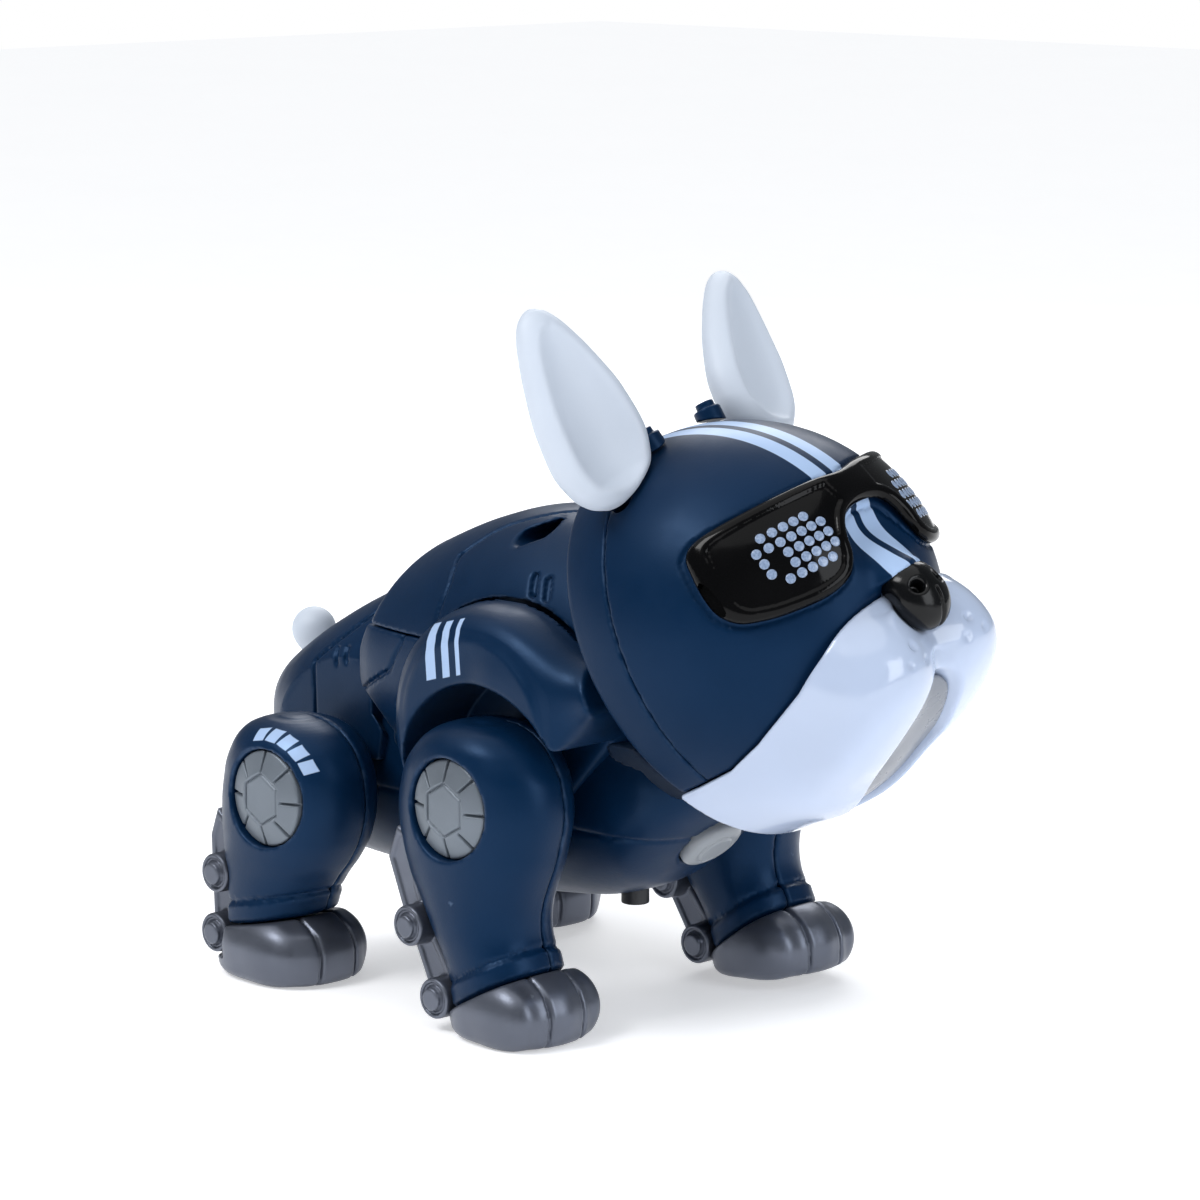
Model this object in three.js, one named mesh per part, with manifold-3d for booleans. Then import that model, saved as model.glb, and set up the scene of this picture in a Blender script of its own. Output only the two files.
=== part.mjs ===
import * as THREE from 'three';
import { mergeVertices } from 'three/addons/utils/BufferGeometryUtils.js';
import Module from 'manifold-3d';

const wasm = await Module();
wasm.setup();

// ---------------------------------------------------------------- driving dimensions (mm)
const GAP = 0.35;
const WALL = 2.2;
const HIP = { front: [-3, 61.5], rear: [-76, 53] };
const LEG_CENTRE_Y = 46;
const LEG_SPLIT_Y = 43;
const FRONT_LEFT_SWING = 8;
const DISC_RADIUS = 13.2;
const HIP_SHAFT_RADIUS = 5.5;
const NECK = [34, 0, 105];
const NECK_TILT = 28;
const HEAD_TURN = 11.5;
const BODY_HALF_WIDTH = 26;
const BELLY_TOP = 84;
const FAR = 400;
const CENTRE_SHIFT_X = 7.765;

// ---------------------------------------------------------------- solid helpers
const rad = (degrees) => (degrees * Math.PI) / 180;

function solid(geometry) {
  const bare = geometry.index ? geometry.toNonIndexed() : geometry.clone();
  for (const name of Object.keys(bare.attributes)) {
    if (name !== 'position') bare.deleteAttribute(name);
  }
  const merged = mergeVertices(bare, 1e-4);
  const mesh = new wasm.Mesh({
    numProp: 3,
    vertProperties: new Float32Array(merged.attributes.position.array),
    triVerts: new Uint32Array(merged.index.array),
  });
  mesh.merge();
  return new wasm.Manifold(mesh);
}

function geometryOf(body) {
  const mesh = body.getMesh();
  const geometry = new THREE.BufferGeometry();
  geometry.setAttribute('position', new THREE.BufferAttribute(new Float32Array(mesh.vertProperties), 3));
  geometry.setIndex(new THREE.BufferAttribute(new Uint32Array(mesh.triVerts), 1));
  return geometry;
}

function largestPiece(body) {
  const pieces = body.decompose();
  pieces.sort((a, b) => b.volume() - a.volume());
  return pieces[0];
}

const box = (x0, x1, y0, y1, z0, z1) => {
  const shape = new THREE.BoxGeometry(x1 - x0, y1 - y0, z1 - z0);
  shape.translate((x0 + x1) / 2, (y0 + y1) / 2, (z0 + z1) / 2);
  return solid(shape);
};

// a round bar from point a to point b
function bar(a, b, radiusA, radiusB = radiusA, sides = 16) {
  const from = new THREE.Vector3(...a);
  const to = new THREE.Vector3(...b);
  const along = to.clone().sub(from);
  const shape = new THREE.CylinderGeometry(radiusB, radiusA, along.length(), sides);
  const turn = new THREE.Quaternion().setFromUnitVectors(new THREE.Vector3(0, 1, 0), along.clone().normalize());
  shape.applyQuaternion(turn);
  shape.translate(...from.add(to).multiplyScalar(0.5).toArray());
  return solid(shape);
}

function ball(centre, radii, wide = 20, high = 12) {
  const shape = new THREE.SphereGeometry(1, wide, high);
  shape.rotateX(Math.PI / 2);
  shape.scale(...radii);
  shape.translate(...centre);
  return solid(shape);
}

// everything on the side of a plane that its normal points to
function beyond(point, normal) {
  const half = FAR / 2;
  const shape = new THREE.BoxGeometry(FAR, FAR, FAR);
  shape.translate(0, 0, half);
  const direction = new THREE.Vector3(...normal).normalize();
  shape.applyQuaternion(new THREE.Quaternion().setFromUnitVectors(new THREE.Vector3(0, 0, 1), direction));
  shape.translate(...point);
  return solid(shape);
}

// side outline [x, z] swept across y
function slab(outline, y0, y1) {
  const shape = new THREE.Shape(outline.map(([x, z]) => new THREE.Vector2(x, z)));
  const body = new THREE.ExtrudeGeometry(shape, { depth: y1 - y0, bevelEnabled: false });
  body.rotateX(Math.PI / 2);
  body.translate(0, y1, 0);
  return solid(body);
}

// front outline [y, z] swept along x
function curtain(outline, x0, x1) {
  const shape = new THREE.Shape(outline.map(([y, z]) => new THREE.Vector2(y, z)));
  const body = new THREE.ExtrudeGeometry(shape, { depth: x1 - x0, bevelEnabled: false });
  body.applyMatrix4(new THREE.Matrix4().makeBasis(
    new THREE.Vector3(0, 1, 0), new THREE.Vector3(0, 0, 1), new THREE.Vector3(1, 0, 0)));
  body.translate(x0, 0, 0);
  return solid(body);
}

const signedPower = (value, power) => Math.sign(value) * Math.abs(value) ** power;

// rounded sections stacked along an axis: [station, centre1, centre2, half1, half2]
function loft(axis, stations, { sides = 20, square = 2.2 } = {}) {
  const place = { x: (t, a, b) => [t, a, b], y: (t, a, b) => [b, t, a], z: (t, a, b) => [a, b, t] }[axis];
  const points = [];
  const faces = [];
  for (const [t, c1, c2, r1, r2] of stations) {
    for (let i = 0; i < sides; i += 1) {
      const angle = (2 * Math.PI * i) / sides;
      const a = c1 + r1 * signedPower(Math.cos(angle), 2 / square);
      const b = c2 + r2 * signedPower(Math.sin(angle), 2 / square);
      points.push(...place(t, a, b));
    }
  }
  const first = stations[0];
  const last = stations[stations.length - 1];
  const startHub = points.length / 3;
  points.push(...place(first[0], first[1], first[2]));
  points.push(...place(last[0], last[1], last[2]));
  for (let k = 0; k + 1 < stations.length; k += 1) {
    for (let i = 0; i < sides; i += 1) {
      const j = (i + 1) % sides;
      const a = k * sides + i;
      const b = k * sides + j;
      faces.push(a, b, b + sides, a, b + sides, a + sides);
    }
  }
  const top = (stations.length - 1) * sides;
  for (let i = 0; i < sides; i += 1) {
    const j = (i + 1) % sides;
    faces.push(startHub, j, i);
    faces.push(startHub + 1, top + i, top + j);
  }
  if (stations[0][0] > last[0]) {
    for (let i = 0; i < faces.length; i += 3) [faces[i], faces[i + 1]] = [faces[i + 1], faces[i]];
  }
  const shape = new THREE.BufferGeometry();
  shape.setAttribute('position', new THREE.BufferAttribute(new Float32Array(points), 3));
  shape.setIndex(faces);
  return solid(shape);
}

// the same stations pulled inward by a wall thickness
const shrink = (stations, wall) => stations.map(([t, c1, c2, r1, r2], k) => {
  const end = k === 0 ? wall : k === stations.length - 1 ? -wall : 0;
  const direction = stations[0][0] < stations[stations.length - 1][0] ? 1 : -1;
  return [t + direction * end, c1, c2, Math.max(r1 - wall, 0.8), Math.max(r2 - wall, 0.8)];
});

// a copy of a solid carried through a matrix
function moved(body, matrix) {
  const shape = geometryOf(body);
  shape.applyMatrix4(matrix);
  if (matrix.determinant() < 0) {
    const faces = shape.index.array;
    for (let i = 0; i < faces.length; i += 3) [faces[i], faces[i + 1]] = [faces[i + 1], faces[i]];
  }
  return solid(shape);
}

const mirrorY = (body) => moved(body, new THREE.Matrix4().makeScale(1, -1, 1));

// ---------------------------------------------------------------- colours
const NAVY = [0x12305a, 0.5, 0.0];
const WHITE = [0xe9eef6, 0.55, 0.0];
const GLOSS_WHITE = [0xdbe4f4, 0.15, 0.0];
const GLOSS_BLACK = [0x0b0d11, 0.08, 0.0];
const GREY = [0x6f747d, 0.4, 0.5];
const GUNMETAL = [0x474b55, 0.3, 0.8];
const STEEL = [0xb9bcc2, 0.3, 1.0];
const BOARD = [0x1d6b3a, 0.6, 0.0];
const DARK_PLASTIC = [0x22252b, 0.6, 0.0];
const CELL = [0xc98a3c, 0.4, 0.4];
const INSERT_GREY = [0x6d7178, 0.35, 0.0];

const group = new THREE.Group();
group.name = 'robot_dog_toy';

function addPart(name, body, [colour, roughness, metalness], parent = group) {
  const material = new THREE.MeshStandardMaterial({ color: colour, roughness, metalness });
  material.name = name;
  const mesh = new THREE.Mesh(geometryOf(body), material);
  mesh.name = name;
  parent.add(mesh);
}

// ---------------------------------------------------------------- head frame
const headForward = new THREE.Vector3(Math.cos(rad(NECK_TILT)), 0, Math.sin(rad(NECK_TILT)));
const headLeft = new THREE.Vector3(0, 1, 0).applyAxisAngle(headForward, rad(HEAD_TURN));
const headUp = new THREE.Vector3().crossVectors(headForward, headLeft);
const headMatrix = new THREE.Matrix4().makeBasis(headForward, headLeft, headUp);
const head = new THREE.Group();
head.name = 'head';
head.position.set(...NECK);
head.quaternion.setFromRotationMatrix(headMatrix);
group.add(head);
const neckPoint = (along) => [
  NECK[0] + headForward.x * along,
  0,
  NECK[2] + headForward.z * along,
];
const NECK_AXIS = headForward.toArray();
const BODY_FRONT_ALONG_NECK = -5;
const bodyFrontLimit = beyond(neckPoint(BODY_FRONT_ALONG_NECK), NECK_AXIS);

// ---------------------------------------------------------------- trunk
const BACK_STATIONS = [
  [-68, 0, 88, 33, 25], [-62, 0, 88, 35, 31], [-54, 0, 88, 36.5, 35], [-38, 0, 88, 38.5, 41.5],
  [-23, 0, 88, 39.5, 45.5], [-8, 0, 88, 39.5, 47], [10, 0, 88, 38.5, 45.5], [40, 0, 88, 34, 38],
];
const RUMP_STATIONS = [
  [-127.5, 0, 67, 5, 4], [-125, 0, 67, 12, 9], [-119, 0, 67, 20, 15], [-110, 0, 67, 26.5, 21],
  [-98, 0, 67, 31, 28.5], [-84, 0, 67, 32.6, 36], [-72, 0, 67, 31.4, 41], [-60, 0, 67, 29.5, 41.5],
];
const BELLY_STATIONS = [
  [-117, 0, 60, 8, 7], [-112, 0, 59, 17, 17], [-104, 0, 58, 22, 25], [-90, 0, 57, 25, 30],
  [-60, 0, 57, BODY_HALF_WIDTH, 31], [-30, 0, 58, BODY_HALF_WIDTH, 31.5], [0, 0, 60, BODY_HALF_WIDTH, 30.5],
  [18, 0, 62, BODY_HALF_WIDTH, 27], [30, 0, 64, 25, 19.5], [40, 0, 66, 21, 11], [45, 0, 67, 14, 5],
];
const SIDE_TOP = 99;
const SIDE_BOTTOM = 57;

const backLoft = loft('x', BACK_STATIONS);
const innerTrunk = loft('x', shrink(BACK_STATIONS, WALL));
const backRear = beyond([-66, 0, 100], [-1, 0, 0.35]);
const backShell = largestPiece(backLoft
  .subtract(innerTrunk)
  .subtract(beyond([0, 0, SIDE_TOP + GAP], [0, 0, -1]))
  .subtract(backRear)
  .subtract(bodyFrontLimit));
addPart('back_shell', backShell, NAVY);

const SHOULDER_CLEARANCE = 31.5;
const REAR_CLEARANCE = 34;
const WELL_OUTER_Y = -28.3;
const WELL_INNER_Y = -26.5;
const hipRound = ([x, z], radius) => bar([x, -FAR / 4, z], [x, WELL_OUTER_Y, z], radius, radius, 26);
const wheelWell = ([x, z], radius) => bar([x, WELL_OUTER_Y, z], [x, WELL_INNER_Y, z], radius, radius, 24);
const TAIL_BASE = [-116, 0, 75];
const TAIL_TIP = [-124, 0, 86];
const RUMP_BOTTOM = 60;
const rumpOuter = loft('x', RUMP_STATIONS);
const rumpInner = loft('x', shrink(RUMP_STATIONS, WALL), { sides: 16 });
const rearRound = hipRound(HIP.rear, REAR_CLEARANCE);
const insideBack = loft('x', shrink(BACK_STATIONS, WALL + GAP));
const rumpShell = largestPiece(rumpOuter.subtract(rumpInner)
  .subtract(backLoft.subtract(insideBack).subtract(beyond([-67, 0, 100], [-1, 0, 0.35])))
  .subtract(beyond([0, 0, RUMP_BOTTOM], [0, 0, -1]))
  .subtract(beyond([-63, 0, 90], [1, 0, -0.2]))
  .subtract(rearRound)
  .subtract(mirrorY(rearRound))
  .subtract(bar(TAIL_BASE, TAIL_TIP, 6.6, 6.6, 12)));
addPart('rump_shell', rumpShell, NAVY);

// shoulder arch over the front leg, joined to the flank behind it and a flat well wall inside
const shoulder = loft('y', [
  [-50.5, 80, -5, 24, 25], [-49.5, 79.5, -5, 28, 29], [-46, 79, -5, 32, 33.5],
  [-38, 79, -5, 34, 36], [-27, 79, -5, 34.5, 37],
]);
const shoulderReach = bar([4, -39, 95], [42, -38, 91], 9.5, 9, 14);
const FRONT_OPENING = { x: 26, z: 79 };
const flank = backLoft
  .subtract(innerTrunk)
  .subtract(beyond([0, 0, SIDE_TOP], [0, 0, 1]))
  .subtract(beyond([0, -20, 0], [0, 1, 0]))
  .subtract(backRear);
const rumpRoom = loft('x', RUMP_STATIONS.map(([x, a, b, c, d]) => [x, a, b, c + GAP, d + GAP]));
const aboveSide = loft('x', BACK_STATIONS.map(([x, a, b, c, d]) => [x, a, b, c + GAP, d + GAP]))
  .subtract(beyond([0, 0, SIDE_TOP], [0, 0, -1]));
const wells = wheelWell(HIP.front, SHOULDER_CLEARANCE + 1.9);
const shaftRoom = bar([HIP.front[0], -60, HIP.front[1]], [HIP.front[0], 0, HIP.front[1]], HIP_SHAFT_RADIUS + 0.5, HIP_SHAFT_RADIUS + 0.5, 14);
const sidePanel = largestPiece(shoulder
  .add(shoulderReach)
  .subtract(innerTrunk)
  .subtract(aboveSide)
  .add(flank)
  .subtract(hipRound(HIP.front, SHOULDER_CLEARANCE))
  .subtract(rearRound)
  .add(wells)
  .subtract(shaftRoom)
  .subtract(box(-FAR, FAR, WELL_INNER_Y, FAR, -FAR, 86))
  .subtract(box(-FAR, FAR, -FAR, FAR, -FAR, SIDE_BOTTOM))
  .subtract(box(FRONT_OPENING.x, FAR, -FAR, FAR, -FAR, FRONT_OPENING.z))
  .subtract(bodyFrontLimit)
  .subtract(rumpRoom));
addPart('side_panel_right', sidePanel, NAVY);
addPart('side_panel_left', mirrorY(sidePanel), NAVY);

// belly tub
const CHEST_BUTTON = [33.5, 0, 49.5];
const CHEST_NORMAL = [0.69, 0, -0.72];
const CHEST_RADIUS = 9;
const POWER_X = 6;
const POWER_RADIUS = 3.8;
const bellyOuter = loft('x', BELLY_STATIONS, { square: 2.4 });
const bellyInner = loft('x', shrink(BELLY_STATIONS.filter((_, k) => k % 2 === 0), WALL), { sides: 12, square: 2.4 });
const along = (point, direction, amount) => point.map((value, i) => value + direction[i] * amount);
const hipHole = ([x, z]) => bar([x, -60, z], [x, 60, z], HIP_SHAFT_RADIUS + 0.5, HIP_SHAFT_RADIUS + 0.5, 16);
const coverZone = (shift) => box(-72 + shift, -22 - shift, -15 + shift, 15 - shift, -FAR, 40);
const bellySkin = bellyOuter.subtract(bellyInner)
  .subtract(beyond([0, 0, BELLY_TOP], [0, 0, 1]))
  .subtract(bodyFrontLimit);
const bellyShell = largestPiece(bellySkin
  .subtract(coverZone(0))
  .subtract(bar(along(CHEST_BUTTON, CHEST_NORMAL, -20), along(CHEST_BUTTON, CHEST_NORMAL, 20), CHEST_RADIUS + 0.4, CHEST_RADIUS + 0.4, 20))
  .subtract(bar([POWER_X, 0, 20], [POWER_X, 0, 45], POWER_RADIUS + 0.4, POWER_RADIUS + 0.4, 14))
  .subtract(hipHole(HIP.front))
  .subtract(hipHole(HIP.rear))
  .subtract(box(-FAR, -64, -FAR, FAR, 77.6, FAR)));
addPart('belly_shell', bellyShell, NAVY);

const COVER_SCREW_X = -28;
const coverPlate = largestPiece(bellySkin.intersect(coverZone(GAP)))
  .subtract(bar([COVER_SCREW_X, 0, 20], [COVER_SCREW_X, 0, 45], 2.0, 2.0, 12));
addPart('battery_cover', coverPlate, NAVY);
const screwHead = bar([COVER_SCREW_X, 0, 27.2], [COVER_SCREW_X, 0, 33.5], 1.6, 1.6, 12)
  .subtract(box(COVER_SCREW_X - 1.2, COVER_SCREW_X + 1.2, -0.25, 0.25, 20, 27.9));
addPart('battery_cover_screw', screwHead, STEEL);

const chestButton = bar(along(CHEST_BUTTON, CHEST_NORMAL, -6), along(CHEST_BUTTON, CHEST_NORMAL, 2), CHEST_RADIUS, CHEST_RADIUS, 20)
  .add(bar(along(CHEST_BUTTON, CHEST_NORMAL, 1.9), along(CHEST_BUTTON, CHEST_NORMAL, 3.6), CHEST_RADIUS, 5.5, 20));
addPart('chest_button', chestButton, GREY);
addPart('power_button', bar([POWER_X, 0, 27.6], [POWER_X, 0, 38], POWER_RADIUS, POWER_RADIUS, 14), DARK_PLASTIC);

// collar under the head
const collarRing = (radius, from, to) => bar(neckPoint(from), neckPoint(to), radius, radius, 32);
const collar = largestPiece(bar(neckPoint(-15), neckPoint(-2.5), 43, 47, 32)
  .subtract(collarRing(40, -20, 2))
  .intersect(beyond([0, 0, 84], [0, 0, -1]))
  .subtract(bellyOuter)
  .subtract(sidePanel)
  .subtract(mirrorY(sidePanel)));
addPart('neck_collar', collar, NAVY);

// tail
const tail = bar(along(TAIL_BASE, [0, 0, 1], -1), TAIL_TIP, 4.6, 5.8, 12)
  .add(ball(TAIL_TIP, [6.2, 6.2, 6.4], 12, 8));
addPart('tail', tail, WHITE);

// ---------------------------------------------------------------- inside the trunk
addPart('battery_box', box(-66, -28, -16.9, 16.9, 39.5, 56)
  .subtract(box(-64, -30, -15.8, 15.8, 20, 54)), DARK_PLASTIC);
const CELL_RADIUS = 5.2;
[-10.6, 0, 10.6].forEach((y, i) => {
  const cell = bar([-63, y, 45.5], [-33, y, 45.5], CELL_RADIUS, CELL_RADIUS, 14)
    .add(bar([-33.2, y, 45.5], [-31.8, y, 45.5], 2, 2, 10));
  addPart(`battery_${i + 1}`, cell, CELL);
});
addPart('gearbox', box(-20, 12, -19, 19, 49, 74)
  .subtract(box(-16, 10, -16, 16, 51, 90)), DARK_PLASTIC);
addPart('drive_motor', bar([-14, 0, 62], [8, 0, 62], 10, 10, 20)
  .add(bar([7.8, 0, 62], [9.6, 0, 62], 3, 3, 12)), STEEL);
addPart('rear_axle_block', box(-84, -68.5, -18, 18, 44, 66)
  .subtract(box(-80, -72.5, -15, 15, 48, 90)), DARK_PLASTIC);
addPart('main_circuit_board', box(-60, -28, -17, 17, 70, 71.6)
  .add(box(-52, -42, -6, 6, 71.5, 73.6)), BOARD);
addPart('speaker', bar([-96, 0, 48], [-96, 0, 54], 10.5, 10.5, 16)
  .add(bar([-96, 0, 53.9], [-96, 0, 61], 6, 6, 12)), DARK_PLASTIC);

// ---------------------------------------------------------------- head, in its own frame
const BALL_CENTRE = [10, 0, -1];
const BALL_RADII = [58, 49.5, 53];
const grown = (radii, amount) => radii.map((r) => r + amount);
const outerBall = ball(BALL_CENTRE, BALL_RADII, 24, 16);
const innerBall = ball(BALL_CENTRE, grown(BALL_RADII, -3.2), 16, 10);
const SEAM = [14.5, 0, 0];
const SEAM_NORMAL = [1, 0, -0.085];
// the line where the white muzzle meets the dark face, seen from the side [forward, up]
const MUZZLE_LINE = [
  [-12, -33], [8, -33.5], [20, -33.5], [31.7, -30.7], [48, -24.1], [56.7, -18.6], [63.5, -12.6], [66.5, -10.2], [90, -8],
];
const muzzleZone = (lift) => slab([
  ...MUZZLE_LINE.map(([x, z]) => [x, z + lift]),
  [90, -120], [-12, -120],
], -80, 80);
// ears: a thick leaf with a hollow front, each on its own knuckle
const EAR_BASE = [21, 29, 40];
const EAR_LENGTH = 56;
const EAR_STATIONS = [
  [0, 0, 0, 3, 5], [2.5, 0.3, 0, 5.6, 10], [8, 0.6, 0, 7.4, 14.8], [16, 0.4, 0, 8, 17], [26, 0, 0, 7.4, 16],
  [36, -0.6, 0, 6.4, 13.2], [45, -1.2, 0, 5.4, 9.8], [51, -1.6, 0, 4.2, 6.8], [54.5, -1.8, 0, 2.7, 4],
  [EAR_LENGTH, -1.8, 0, 0.8, 1.2],
];
const EAR_POSE = { right: { lean: 12, splay: 9, toe: 11 }, left: { lean: -8, splay: 32, toe: 11 } };
function earBody(side, pose) {
  const leaf = loft('z', EAR_STATIONS, { sides: 12, square: 2 });
  const hollow = loft('z', [
    [3, 8.6, 0, 0.6, 1], [8, 8.4, 0, 5.4, 9.6], [17, 8.2, 0, 6.8, 12.4], [27, 7.4, 0, 6.2, 11.6], [37, 6.2, 0, 5, 9],
    [45, 5, 0, 3.6, 5.8], [50, 4.2, 0, 1.6, 2.2],
  ], { sides: 10, square: 2 });
  const turn = new THREE.Matrix4()
    .makeTranslation(EAR_BASE[0], side * EAR_BASE[1], EAR_BASE[2])
    .multiply(new THREE.Matrix4().makeRotationX(rad(-side * pose.splay)))
    .multiply(new THREE.Matrix4().makeRotationY(rad(pose.lean)))
    .multiply(new THREE.Matrix4().makeRotationZ(rad(side * pose.toe)));
  return moved(leaf.subtract(hollow), turn);
}
const earClear = ball(BALL_CENTRE, grown(BALL_RADII, 2 * GAP), 24, 16);
const EAR_PEG_RADIUS = 3;
const earNormal = (side) => new THREE.Vector3(
  (EAR_BASE[0] - BALL_CENTRE[0]) / BALL_RADII[0] ** 2,
  (side * EAR_BASE[1]) / BALL_RADII[1] ** 2,
  (EAR_BASE[2] - BALL_CENTRE[2]) / BALL_RADII[2] ** 2,
).normalize().toArray();
const earPeg = (side, radius, from, to) => {
  const base = [EAR_BASE[0], side * EAR_BASE[1], EAR_BASE[2]];
  return bar(along(base, earNormal(side), from), along(base, earNormal(side), to), radius, radius, 12);
};
const headSkin = outerBall.subtract(innerBall)
  .subtract(beyond([0, 0, 0], [-1, 0, 0]))
  .subtract(earPeg(1, EAR_PEG_RADIUS + 0.3, -12, 12))
  .subtract(earPeg(-1, EAR_PEG_RADIUS + 0.3, -12, 12));
const NOSE_CENTRE = [70, 0, -17];
const NOSE_RADII = [6.5, 9, 9];
const nosePocket = ball(NOSE_CENTRE, grown(NOSE_RADII, GAP), 14, 10);
const LENS_HALF = [
  [0, 21.8], [10, 22.8], [26, 23.2], [36.5, 22.7], [40.6, 20], [42.2, 14], [42.6, 8], [42, 2.5],
  [40, -1.6], [33, -5.6], [24, -6.4], [17, -4.5], [13.4, 0], [11.3, 6], [7.5, 10.5], [0, 12],
];
const LENS_OUTLINE = [...LENS_HALF, ...LENS_HALF.slice(1, -1).reverse().map(([y, z]) => [-y, z])];
const windowBox = (side) => box(30, 70, side * 22 - 9, side * 22 + 9, 1, 17);
const faceShell = largestPiece(headSkin
  .subtract(beyond(SEAM, SEAM_NORMAL.map((v) => -v)))
  .subtract(muzzleZone(GAP))
  .subtract(nosePocket)
  .subtract(windowBox(1))
  .subtract(windowBox(-1)));
addPart('head_face_shell', faceShell, NAVY, head);

const goggles = largestPiece(ball(BALL_CENTRE, grown(BALL_RADII, 4), 24, 16)
  .subtract(ball(BALL_CENTRE, grown(BALL_RADII, GAP), 24, 16))
  .intersect(curtain(LENS_OUTLINE, 20, 90)));
addPart('goggles', goggles, GLOSS_BLACK, head);

const JAW_STATIONS = [
  [0.2, 0, -3.5, 48.2, 53], [10, 0, -6, 47.5, 51.5], [22, 0, -10, 45, 49], [34, 0, -14, 41, 44],
  [44, 0, -16, 36, 37.5], [54, 0, -18, 30, 29.5], [62, 0, -21, 21, 16], [66, 0, -22, 10, 7],
];
const CHEEK = [46, 14, -31];
const CHEEK_RADII = [25, 19.5, 24.5];
const cheek = (side, amount = 0) => ball([CHEEK[0], side * CHEEK[1], CHEEK[2]], grown(CHEEK_RADII, amount), 16, 10);
const jawOuter = loft('x', JAW_STATIONS, { sides: 24, square: 2 }).add(cheek(1)).add(cheek(-1));
const jawInner = loft('x', shrink(JAW_STATIONS.filter((_, k) => k % 2 === 0), 3), { sides: 12, square: 2 }).intersect(beyond([52, 0, 0], [-1, 0, 0]));
const MOUTH_CENTRE = [47, 0, -48];
const MOUTH_RADII = [21, 8.8, 10.5];
const MOUTH_PITCH = 36;
function mouthLeaf(amount) {
  const shape = new THREE.SphereGeometry(1, 12, 8);
  shape.scale(...grown(MOUTH_RADII, amount));
  shape.rotateY(-rad(MOUTH_PITCH));
  shape.translate(...MOUTH_CENTRE);
  return solid(shape);
}
const muzzle = largestPiece(jawOuter.subtract(jawInner)
  .intersect(muzzleZone(0))
  .subtract(nosePocket)
  .subtract(mouthLeaf(GAP)));
addPart('muzzle', muzzle, GLOSS_WHITE, head);
const insertLimit = loft('x', shrink(JAW_STATIONS, 1.2), { sides: 28, square: 2 });
addPart('mouth_insert', largestPiece(mouthLeaf(0).intersect(insertLimit)), INSERT_GREY, head);

const nostril = (side) => bar([73, side * 3.6, -14.5], [80, side * 4.6, -13.5], 1.3, 1.8, 10);
addPart('nose', ball(NOSE_CENTRE, NOSE_RADII, 14, 10).subtract(nostril(1)).subtract(nostril(-1)), GLOSS_BLACK, head);

// rear shell with a closed back that carries the neck
const NECK_RADIUS = 9;
const rearPlate = bar([0, 0, -1], [3, 0, -1], 46, 46, 28).subtract(bar([-5, 0, 0], [8, 0, 0], NECK_RADIUS + 0.3, NECK_RADIUS + 0.3, 20));
const rearShell = largestPiece(headSkin
  .subtract(beyond(along(SEAM, SEAM_NORMAL, -GAP), SEAM_NORMAL))
  .subtract(muzzleZone(GAP))
  .add(rearPlate.subtract(muzzleZone(GAP))));
addPart('head_rear_shell', rearShell, NAVY, head);
addPart('neck_shaft', bar([-26, 0, 0], [7, 0, 0], NECK_RADIUS, NECK_RADIUS, 20)
  .add(bar([3.5, 0, 0], [7, 0, 0], NECK_RADIUS + 4, NECK_RADIUS + 4, 20)), DARK_PLASTIC, head);

for (const [label, side] of [['right', -1], ['left', 1]]) {
  const plate = box(43, 44.6, side * 20 - 9, side * 20 + 9, -2, 19)
    .add(box(44.5, 46.5, side * 18 - 6.5, side * 18 + 6.5, 2.5, 15.5));
  addPart(`led_board_${label}`, plate, BOARD, head);
}

// ears and their knuckles
for (const [label, side] of [['right', -1], ['left', 1]]) {
  addPart(`ear_${label}`, largestPiece(earBody(side, EAR_POSE[label])
    .subtract(earClear)
    .add(earPeg(side, EAR_PEG_RADIUS, -6, 4))), WHITE, head);
  const knuckle = bar([24, side * 10, 47], [24, side * 10.6, 54.5], 3.2, 2.8, 12)
    .add(bar([24, side * 9, 49.5], [22.5, side * 13, 50.8], 2, 2, 10))
    .subtract(earClear);
  addPart(`ear_bracket_${label}`, largestPiece(knuckle), NAVY, head);
}

// ---------------------------------------------------------------- legs, right side, hip at its place
const FRONT_LEG = {
  hip: HIP.front,
  stations: [
    [-2, 5, -46, 16, 14.5], [10, 4, -46, 16.8, 15], [17, 3, -46, 17.3, 15.2], [22, 0.5, -46, 18, 15.4],
    [27, -1.5, -46, 19, 15.8], [34, -3.5, -46, 21, 16.2], [42, -4, -46, 24, 16.6], [50, -3.5, -46, 26.6, 17],
    [60, -3, -46, 28, 17.2], [69, -2.5, -46, 26.2, 16.8], [76, -2, -46, 21.5, 15.6], [80.5, -2, -46, 15.5, 13],
    [83, -2, -46, 8, 8], [83.8, -2, -46, 2, 2],
  ],
  cuffPoint: [4, 0, 11.5],
  cuffNormal: [0.47, 0, -0.883],
  strut: [[-30, 52], [-33.5, 43], [-28, 30], [-24.5, 24], [-15, 4.5], [-7, 5], [-8, 14], [-16, 26], [-21, 36], [-24, 50]],
  bosses: [[-20, 27], [-10, 9]],
  foot: [
    [0, 9, -46, 15, 14], [0.9, 9, -46, 19, 16.6], [3, 8.6, -46, 21, 18], [8, 8.4, -46, 21.6, 18.4],
    [12, 8, -46, 20, 17], [15.5, 7, -46, 16, 14], [18.5, 5.5, -46, 9, 9], [19.5, 5, -46, 2, 2],
  ],
  toes: [[30, 6.2], [30, -6.2]],
};
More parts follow.
